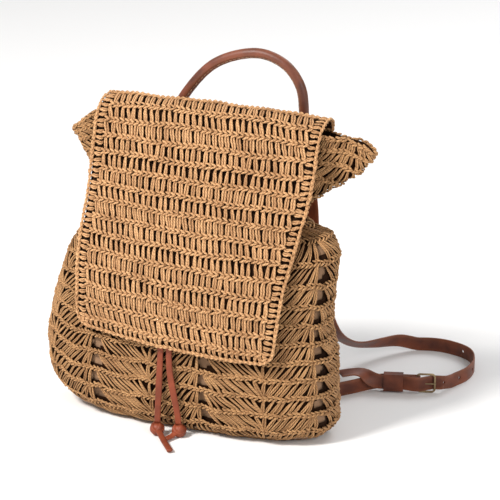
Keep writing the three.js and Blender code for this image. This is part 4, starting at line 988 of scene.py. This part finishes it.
# Each strap's route: x and back are shares of the reach, up of the patch's top (None on the floor).
rightStrap = dict(
    name="right", topX=91.0, handleX=81.0, buckle=(178.0, 87.0), heading=(0.944, 0.33),
    hang=[(0.455, 0.07, 0.72, (0, 1, 0)), (0.455, 0.105, 0.53, (0, 0.98, 0.2)), (0.457, 0.22, 0.35, (0, 0.85, 0.5)),
          (0.46, 0.37, 0.2, (-0.08, 0.6, 0.8)), (0.47, 0.52, 0.125, (-0.2, 0.45, 0.87)),
          (0.492, 0.65, 0.085, (-0.45, 0.45, 0.75)), (0.54, 0.79, 0.063, (-0.65, 0.55, 0.5)),
          (0.607, 0.91, 0.05, (-0.6, 0.75, 0.25)), (0.69, 0.985, None, (-0.4, 0.9, 0.08)),
          (0.815, 1.015, None, (0.05, 1, 0)), (0.975, 0.96, None, (0.65, 0.76, 0)), (1.05, 0.84, None, (0.97, 0.25, 0)),
          (1.065, 0.7, None, (0.99, -0.15, 0)), (1.03, 0.575, None, (0.85, -0.52, 0))],
    tail=[(-46, 3.6, 14.5, 0.6), (-55, 1.5, 19.5, 1.25), (-64, 2.5, 21, 1.5), (-78, 9, 21, 1.5)],
    anchor=[(0.25, None, 0.085), (0.34, None, 0.08), (0.42, 0.045, None), (0.5, 0.15, None), (0.59, 0.27, None)],
)
leftStrap = dict(
    name="left", topX=-64.0, handleX=-58.0, buckle=(-128.0, 84.0), heading=(-0.6, 0.8),
    hang=[(-0.32, 0.07, 0.72, (0, 1, 0)), (-0.315, 0.105, 0.53, (0, 0.98, 0.2)), (-0.305, 0.2, 0.36, (0, 0.85, 0.5)),
          (-0.29, 0.33, 0.225, (0.08, 0.6, 0.8)), (-0.275, 0.46, 0.145, (0.2, 0.4, 0.88)),
          (-0.28, 0.58, 0.11, (0.45, 0.35, 0.8)), (-0.31, 0.69, 0.085, (0.65, 0.45, 0.5)),
          (-0.365, 0.79, None, (0.55, 0.75, 0.2)), (-0.46, 0.86, None, (0.3, 0.95, 0)), (-0.58, 0.88, None, (-0.1, 1, 0)),
          (-0.7, 0.82, None, (-0.7, 0.7, 0)), (-0.755, 0.71, None, (-0.98, 0.1, 0)), (-0.75, 0.6, None, (-0.95, -0.3, 0))],
    tail=[(-46, 3.6, 14.5, 0.6), (-55, 1.5, 19.5, 1.25), (-62, 2.5, 21, 1.5), (-70, 4, 21, 1.5)],
    anchor=[(-0.2, None, 0.085), (-0.29, None, 0.08), (-0.365, 0.055, None), (-0.42, 0.13, None), (-0.465, 0.22, None)],
)
backY = float(curveAt(pouchSections[:, 0], pouchSections[:, 6], 0.2)) * pouch["depth"] / 2
patchFace = flapStations[:3, 1].max() * pouch["depth"] / 2 + flapFace + leather["seat"] + leather["thickness"]
barRadius = buckle["wire"] / 2
shortLine = barRadius * math.sqrt(2) + leather["seat"] + leather["thickness"] / 2
foldLine = -shortLine + leather["thickness"] + leather["seat"]
tailLine = foldLine + leather["thickness"] + leather["seat"]


# The frame at a buckle: along points away from the pouch, out is the way that it faces.
def buckleFrame(strap):
    along = unit(np.array([*strap["heading"], 0.0]))
    sign = 1 if strap["name"] == "right" else -1
    out = np.array([along[1], -along[0], 0.0]) * sign
    bar = np.array([strap["buckle"][0], backY + strap["buckle"][1], buckle["height"] / 2 + leather["seat"]])
    return along, out, bar


def placeAt(strap, a, n, z=None):
    along, out, bar = buckleFrame(strap)
    point = bar + along * a + out * n
    return np.array([point[0], point[1], bar[2] if z is None else z])


# A run of stations on a spline, with the facing turned evenly between the given ones.
def smoothRun(points, faces, step):
    path, at, knots = smoothPath(points, step=step)
    faces = np.array(faces, float)
    return path, unit(np.stack([np.interp(at, knots, faces[:, k]) for k in range(3)], -1))


def longStrapRun(strap):
    along, out, bar = buckleFrame(strap)
    y = patchFace + leather["seat"] + leather["thickness"] / 2
    sewn = [(strap["topX"], y, leather["patchTop"] - share * leather["patchHeight"]) for share in (0.5, 0.8, 1.15)]
    hang, faces = [], [(0, 1, 0)] * 3
    for x, back, up, face in strap["hang"]:
        z = leather["strapWidth"] / 2 if up is None else up * leather["patchTop"]
        hang.append((x * leather["reach"], backY + back * leather["reach"], z))
        faces.append(face)
    overBar = shortLine + leather["thickness"] + leather["seat"]
    behind = -(barRadius + leather["seat"] + leather["thickness"] / 2 + 0.2)
    inside, place, length = buckle["length"] - barRadius, buckle["keeperPlace"], buckle["keeperLength"]
    through = [(buckle["length"] + 8, behind), (inside - 1.5, behind), (2.4, overBar), (-4, overBar),
               (-place + 1, tailLine), (-place - length / 2, tailLine), (-place - length - 3, tailLine)]
    through = [placeAt(strap, a, n) for a, n in through]
    tail = [placeAt(strap, a, n, z) for a, n, z, _ in strap["tail"]]
    tailFaces = [out * math.cos(lean) + np.array([0, 0, math.sin(lean)]) for *_, lean in strap["tail"]]
    first = smoothRun(sewn + hang + through[:1], faces + [out], 4.0)
    last = smoothRun([through[-1]] + tail, [out] + tailFaces, 3.0)
    legs = np.array(through)
    at = np.concatenate([[0], np.cumsum(np.linalg.norm(np.diff(legs, axis=0), axis=1))])
    even = np.linspace(0, at[-1], int(at[-1] / 2.0))[1:-1]
    middle = np.stack([np.interp(even, at, legs[:, k]) for k in range(3)], -1)
    path = np.concatenate([first[0], middle, last[0]])
    faces = np.concatenate([first[1], np.broadcast_to(out, middle.shape), last[1]])
    start = len(first[0]) + int(np.argmin(np.abs(even - at[2])))
    return path, faces, start


# The three directions that a band has at each station: along it, across it and out of it.
def bandFrame(path, faces):
    tangent = unit(np.gradient(path, axis=0))
    across = unit(np.cross(tangent, faces))
    return tangent, across, np.cross(across, tangent)


def aboveFloor(path, faces, width, thickness):
    _, across, out = bandFrame(path, faces)
    low = path[:, 2] - (np.abs(across[:, 2]) * width + np.abs(out[:, 2]) * thickness) / 2
    lifted = path.copy()
    lifted[:, 2] += np.maximum(0, 0.15 - low)
    return lifted


# A flat pattern of a band, as points (along, across) and faces: strips four wide, and round each
# hole a ring of sixteen faces from the circle to a square of the strip.
def bandPattern(length, width, holes, radius, step=4.0):
    half = width / 2
    breaks = [0.0]
    for hole in sorted(holes):
        breaks += [hole - half * 0.55, hole + half * 0.55]
    breaks.append(length)
    points, quads, lines, start = [], [], [], 0
    acrossAt = np.linspace(-half, half, 5)
    for k in range(len(breaks) - 1):
        low, high = breaks[k], breaks[k + 1]
        if k % 2 == 0:
            n = max(1, int(round((high - low) / step)))
            u = np.linspace(low, high, n + 1)
            grid = np.stack(np.meshgrid(u, acrossAt, indexing="ij"), -1).reshape(-1, 2)
            index = start + np.arange((n + 1) * 5).reshape(n + 1, 5)
            quads.append(np.stack([index[:-1, :-1], index[1:, :-1], index[1:, 1:], index[:-1, 1:]], -1).reshape(-1, 4))
            points.append(grid)
            start += len(grid)
            continue
        u = np.linspace(low, high, 5)
        rim = np.concatenate([
            np.stack([u[:-1], np.full(4, -half)], -1), np.stack([np.full(4, high), acrossAt[:-1]], -1),
            np.stack([u[:0:-1], np.full(4, half)], -1), np.stack([np.full(4, low), acrossAt[:0:-1]], -1),
        ])
        middle = np.array([(low + high) / 2, 0.0])
        circle = middle + radius * unit((rim - middle) / np.array([half * 0.55, half]))
        a = start + np.arange(16)
        b = start + (np.arange(16) + 1) % 16
        quads.append(np.stack([a, b, b + 16, a + 16], -1))
        points.append(np.concatenate([rim, circle]))
        start += 32
    return np.concatenate(points), np.concatenate(quads)


# Lays the flat pattern along the stations, as two faces a thickness apart, and walls its edges.
def bandMesh(name, path, faces, width, thickness, holes=(), radius=1.6, tone=None):
    tangent, across, out = bandFrame(path, faces)
    far = np.concatenate([[0], np.cumsum(np.linalg.norm(np.diff(path, axis=0), axis=1))])
    flat, quads = bandPattern(far[-1], width, list(holes), radius)
    key = np.round(flat, 3)
    _, firstSeen, same = np.unique(key, axis=0, return_index=True, return_inverse=True)
    same = same.ravel()
    flat, quads = flat[firstSeen], same[quads]
    pick = lambda g: np.stack([np.interp(flat[:, 0], far, g[:, k]) for k in range(3)], -1)
    middle, a, o = pick(path), unit(pick(across)), unit(pick(out))
    edge = 1 - 0.22 * (np.abs(flat[:, 1]) / (width / 2)) ** 8
    upper = middle + a * flat[:, 1:2] + o * (thickness / 2 * edge)[:, None]
    lower = middle + a * flat[:, 1:2] - o * (thickness / 2 * edge)[:, None]
    n = len(flat)
    pairs = np.concatenate([quads[:, [0, 1]], quads[:, [1, 2]], quads[:, [2, 3]], quads[:, [3, 0]]])
    code = np.minimum(pairs[:, 0], pairs[:, 1]) * n + np.maximum(pairs[:, 0], pairs[:, 1])
    _, index, times = np.unique(code, return_index=True, return_counts=True)
    rim = pairs[index[times == 1]]
    walls = np.stack([rim[:, 1], rim[:, 0], rim[:, 0] + n, rim[:, 1] + n], -1)
    uv = np.concatenate([flat, flat]) / 10
    tones = np.concatenate([(np.abs(flat[:, 1]) / (width / 2)) ** 4] * 2)
    piece = makeMesh(name, np.concatenate([upper, lower]), [quads, quads[:, ::-1] + n, walls], uv, tones)
    bevel = piece.modifiers.new("edges", "BEVEL")
    bevel.width = 0.35 * mm
    bevel.segments = 2
    bevel.angle_limit = math.radians(40)
    return piece


# A row of stitches: short thread loops that dip into the leather at both ends.
def stitchRow(name, points, normals, length, looks):
    far = np.concatenate([[0], np.cumsum(np.linalg.norm(np.diff(points, axis=0), axis=1))])
    count = max(1, int(far[-1] / (length * 1.45)))
    m = (np.arange(count) + 0.5) / count * far[-1]
    t = np.linspace(-0.5, 0.5, 5)
    at = m[:, None] + t[None] * length
    pick = lambda g: np.stack([np.interp(at, far, g[:, k]) for k in range(3)], -1)
    normal = unit(pick(normals))
    path = pick(points) + normal * (0.28 * np.cos(np.pi * t) - 0.08)[None, :, None]
    return finish(cordMesh(name, path, normal, 0.34, 0.34, 6), looks["thread"], "lace_leather")


def makeLongStrap(strap, looks):
    path, faces, start = longStrapRun(strap)
    path = aboveFloor(path, faces, leather["strapWidth"], leather["thickness"])
    far = np.concatenate([[0], np.cumsum(np.linalg.norm(np.diff(path, axis=0), axis=1))])
    holes = [far[start] - k * leather["holeSpacing"] for k in range(1, leather["holeCount"] + 1)]
    name = strap["name"]
    piece = bandMesh(f"longStrap_{name}", path, faces, leather["strapWidth"], leather["thickness"], holes)
    finish(piece, looks["strap"], "strap_leather", f"shoulder_strap_{name}")


def backFaceAt(x, z):
    level = int(np.clip(round(z / levelStep), 0, len(pouchPoints) - 1))
    ring = pouchPoints[level, : 24 * perColumn + 1]
    return float(np.interp(-x, -ring[:, 0], ring[:, 1]))


def makeShortStrap(strap, looks):
    along, out, bar = buckleFrame(strap)
    width, thickness, reach = leather["strapWidth"], leather["thickness"], leather["reach"]
    points = []
    for x, back, up in strap["anchor"]:
        z = width / 2 + 0.2 if up is None else up * reach
        against = max(backFaceAt(x * reach - 6, z + width), backFaceAt(x * reach + 6, z + width)) + 0.3 + thickness / 2
        points.append((x * reach, against if back is None else backY + back * reach, z))
    for a in (-44, -34, -22, -10, -3):
        points.append(placeAt(strap, a, -shortLine, width / 2 + 1.2 if a < -40 else None))
    points = np.array(points, float)
    way = np.gradient(points, axis=0)
    sign = 1 if strap["name"] == "right" else -1
    faces = unit(np.stack([way[:, 1], -way[:, 0], 0 * way[:, 0]], -1)) * sign
    faces[5:] = out
    path, facing = smoothRun(points, faces, 4.0)
    angle = np.linspace(0, np.pi, 12)[1:, None]
    radial = along * np.sin(angle) - out * np.cos(angle)
    end = np.array([placeAt(strap, a, n) for a, n in ((-6, foldLine + 1), (-12, foldLine), (-18, foldLine), (-buckle["foldBack"], foldLine))])
    path = np.concatenate([path, bar + radial * shortLine, end])
    facing = np.concatenate([facing, -radial, np.broadcast_to(-out, end.shape)])
    path = aboveFloor(path, facing, width, thickness)
    piece = bandMesh(f"shortStrap_{strap['name']}", path, facing, width, thickness)
    finish(piece, looks["strap"], "strap_leather", f"short_strap_{strap['name']}")
    print("stage: short strap", strap["name"])


# A closed ring of wire: a path with its last point joined to its first, and a round section.
def ringTube(path, normals, radius, sides):
    tangent = unit(np.roll(path, -1, axis=0) - np.roll(path, 1, axis=0))
    across = unit(np.cross(tangent, normals))
    out = np.cross(across, tangent)
    turn = 2 * np.pi * np.arange(sides) / sides
    rings = path[:, None] + across[:, None] * (np.cos(turn) * radius)[None, :, None] + out[:, None] * (np.sin(turn) * radius)[None, :, None]
    count = len(path)
    i, k = np.meshgrid(np.arange(count), np.arange(sides), indexing="ij")
    i2, k2 = (i + 1) % count, (k + 1) % sides
    quads = np.stack([i * sides + k, i2 * sides + k, i2 * sides + k2, i * sides + k2], -1).reshape(-1, 4)
    return rings.reshape(-1, 3), quads


# A rectangle with round corners, as points on a line: width and height, corner radius.
def roundedRect(low, high, bottom, top, radius, perCorner=5):
    corners = [(high - radius, top - radius, 0), (low + radius, top - radius, 90), (low + radius, bottom + radius, 180), (high - radius, bottom + radius, 270)]
    parts = []
    for x, z, start in corners:
        angle = np.radians(start + np.linspace(0, 90, perCorner))
        parts.append(np.stack([x + radius * np.cos(angle), z + radius * np.sin(angle)], -1))
    return np.concatenate(parts)


def makeBuckle(strap, looks):
    along, out, bar = buckleFrame(strap)
    up = np.array([0, 0, 1.0])
    name = strap["name"]
    high = buckle["height"] / 2 - barRadius
    outline = roundedRect(0.0, buckle["length"], -high, high, 3.2)
    path = bar + outline[:, :1] * along + outline[:, 1:] * up
    verts, quads = ringTube(path, np.broadcast_to(out, path.shape), barRadius, 10)
    wire = makeMesh(f"buckleWire_{name}", verts, [quads])
    fixNormals(wire)
    finish(wire, looks["metal"], "buckle_metal", f"buckle_{name}")
    s = np.linspace(0, 1, 12)[:, None]
    lift = barRadius + leather["seat"] + buckle["prong"] / 2
    spine = bar + along * (s * (buckle["length"] + 1.5) - 0.2) + out * (lift * (1 - 0.1 * s))
    wide = buckle["prong"] / 2 * (1 - 0.25 * s[:, 0])
    prong = cordMesh(f"buckleProng_{name}", spine[None], np.broadcast_to(out, spine.shape)[None], wide[None], wide[None], 10, [0.5])
    finish(prong, looks["metal"], "buckle_metal", f"prong_{name}")
    low = -shortLine - leather["thickness"] / 2 - leather["seat"]
    top = tailLine + leather["thickness"] / 2 + leather["seat"] + 0.5
    tall = leather["strapWidth"] / 2 + leather["seat"]
    wall = buckle["keeperWall"]
    inner = roundedRect(low, top, -tall, tall, 0.6)
    outer = roundedRect(low - wall, top + wall, -tall - wall, tall + wall, 1.2)
    ends = np.linspace(-buckle["keeperPlace"], -buckle["keeperPlace"] - buckle["keeperLength"], 9)
    lay = lambda line: np.array([bar + along * e + line[:, :1] * out + line[:, 1:] * up for e in ends])
    a, b = lay(outer), lay(inner)
    count = a.shape[1]
    points = np.concatenate([a, b[::-1]])
    index = np.arange(len(points) * count).reshape(len(points), count)
    ring = np.concatenate([index, index[:1]])
    nxt = np.roll(ring, -1, axis=1)
    quads = np.stack([ring[:-1], ring[1:], nxt[1:], nxt[:-1]], -1).reshape(-1, 4)
    keeper = makeMesh(f"strapKeeper_{name}", points, [quads], smooth=False)
    fixNormals(keeper)
    finish(keeper, looks["strap"], "strap_leather", f"keeper_{name}")


# Turns a closed mesh's faces outwards.
def fixNormals(piece):
    import bmesh

    work = bmesh.new()
    work.from_mesh(piece.data)
    bmesh.ops.recalc_face_normals(work, faces=work.faces)
    work.to_mesh(piece.data)
    work.free()


# The rolled handle: a round tube with a sewn seam along its inner side, a groove in the radius
# where the angle is near the seam, slightly flattened at the feet.
def makeHandle(looks):
    spec = handle
    y = patchFace + leather["seat"] + spec["diameter"] / 2
    foot = leather["patchTop"] - leather["patchHeight"] / 2 + 2
    points = [(spec["shift"] + a * spec["span"], y + 4 * r, foot + r * spec["rise"]) for a, r in handleArch]
    path, at, _ = smoothPath(points, step=3.0)
    tangent = unit(np.gradient(path, axis=0))
    side = unit(np.cross(tangent, (0, 1, 0)))
    front = np.cross(side, tangent)
    turn = np.linspace(0, 2 * np.pi, 25)[:-1]
    toSeam = np.angle(np.exp(1j * (turn - np.pi * 1.25)))
    groove = 1 - 0.09 * np.exp(-((toSeam / 0.2) ** 2)) + 0.03 * np.exp(-(((np.abs(toSeam) - 0.42) / 0.16) ** 2))
    ends = np.minimum(at, at[-1] - at) / 22.0
    body = 1 - 0.12 * np.exp(-(ends**2))
    ripple = 1 + 0.008 * np.sin(at * 0.55)
    radius = spec["diameter"] / 2 * groove[None] * (body * ripple)[:, None]
    rings = path[:, None] + side[:, None] * (np.cos(turn)[None] * radius)[..., None] + front[:, None] * (np.sin(turn)[None] * radius)[..., None]
    steps, sides = radius.shape
    i, k = np.meshgrid(np.arange(steps - 1), np.arange(sides), indexing="ij")
    k2 = (k + 1) % sides
    quads = np.stack([i * sides + k, i * sides + k2, (i + 1) * sides + k2, (i + 1) * sides + k], -1).reshape(-1, 4)
    caps = [np.arange(sides)[None, ::-1], (steps - 1) * sides + np.arange(sides)[None]]
    tone = np.broadcast_to((0.5 + 0.5 * np.cos(turn * 3))[None], radius.shape)
    roll = makeMesh("handleRoll", rings, [quads, *caps], tone=tone)
    fixNormals(roll)
    finish(roll, looks["handle"], "strap_leather", "top_handle")
    seam = path + (side * math.cos(math.pi * 1.25) + front * math.sin(math.pi * 1.25)) * spec["diameter"] * 0.46
    stitchRow("handleStitches", seam, unit(seam - path), 3.2, looks)


# A sewn patch: a plate with round corners and a soft dome, and a line of stitches inside its edge.
def makePatch(strap, looks):
    x = (strap["topX"] + strap["handleX"]) / 2
    w, h, t = leather["patchWidth"] / 2, leather["patchHeight"] / 2, leather["thickness"]
    zMid = leather["patchTop"] - h
    outline = roundedRect(-w, w, -h, h, 5.0, 8)
    share = np.array([1.0, 0.985, 0.9, 0.6, 0.25, 0.01])
    depth = np.array([0.25, 0.0, 0.0, 0.02, 0.04, 0.04])
    front = np.array([np.stack([x + outline[:, 0] * s, np.full(len(outline), patchFace - d), zMid + outline[:, 1] * s], -1) for s, d in zip(share, depth)])
    back = front[::-1].copy()
    back[..., 1] = patchFace - t + (patchFace - back[..., 1])
    points = np.concatenate([back, front])
    patch = gridMesh(f"sewnPatch_{strap['name']}", points, closed=True)
    import bmesh

    work = bmesh.new()
    work.from_mesh(patch.data)
    bmesh.ops.holes_fill(work, edges=[e for e in work.edges if e.is_boundary])
    bmesh.ops.recalc_face_normals(work, faces=work.faces)
    work.to_mesh(patch.data)
    work.free()
    finish(patch, looks["strap"], "strap_leather", f"sewn_patch_{strap['name']}")
    line = roundedRect(-w + 2.4, w - 2.4, -h + 2.4, h - 2.4, 3.4, 8)
    line = np.concatenate([line, line[:1]])
    path = np.stack([x + line[:, 0], np.full(len(line), patchFace), zMid + line[:, 1]], -1)
    normal = np.zeros_like(path)
    normal[:, 1] = 1
    stitchRow(f"patchStitches_{strap['name']}", path, normal, 2.6, looks)


# The drawstring, through the slots of the neck, in the middle of the wall.
def makeDrawstring(looks):
    low, _ = onPouch(np.arange(38, 84, 0.5), np.full(92, pouch["neck"] - 4.5))
    high, _ = onPouch(np.arange(38, 84, 0.5), np.full(92, pouch["neck"] + 4.5))
    column = np.arange(38, 83.01, 0.5)
    n = len(column)
    fold = np.clip(1.5 * np.cos(np.pi / 2 * (column - 0.5)), -1, 1) * pouch["gatherDepth"]
    middle = (low[:n] + high[:n]) / 2
    _, normal = onPouch(column, np.full(n, pouch["neck"]))
    flat = unit(normal * np.array([1, 1, 0.0]))
    smooth = lambda v: np.concatenate([v[:1], (v[:-2] + v[1:-1] * 2 + v[2:]) / 4, v[-1:]])
    path = middle - flat * (fold[:, None] + 1.5)
    for _ in range(6):
        path = smooth(path)
        flat = smooth(flat)
    cord = cordMesh("neckLace", path[None], unit(flat)[None], laceEnds["width"] / 2, laceEnds["thickness"] / 2, 10, [0.4])
    finish(cord, looks["lace"], "lace_leather", "drawstring")


def makeStage():
    size = 12000.0
    grid = np.array([[(-size, -size, 0), (size, -size, 0)], [(-size, size, 0), (size, size, 0)]], float)
    floor = gridMesh("studioFloor", grid)
    material, tree, shader = newMaterial("paleFloor")
    shader.inputs["Base Color"].default_value = (0.9, 0.9, 0.9, 1)
    shader.inputs["Roughness"].default_value = 0.9
    floor.data.materials.append(material)


makeCamera()
makeLights()
looks = makeMaterials()
makeLaces(looks)
print("stage: laces made")
makePouch(looks)
makeLining(looks)
makeFlap(looks)
makeFlapLining(looks)
makeHandle(looks)
makeDrawstring(looks)
for strap in (rightStrap, leftStrap):
    makePatch(strap, looks)
    makeLongStrap(strap, looks)
    makeShortStrap(strap, looks)
    makeBuckle(strap, looks)
print("stage: leather made")
makeStage()
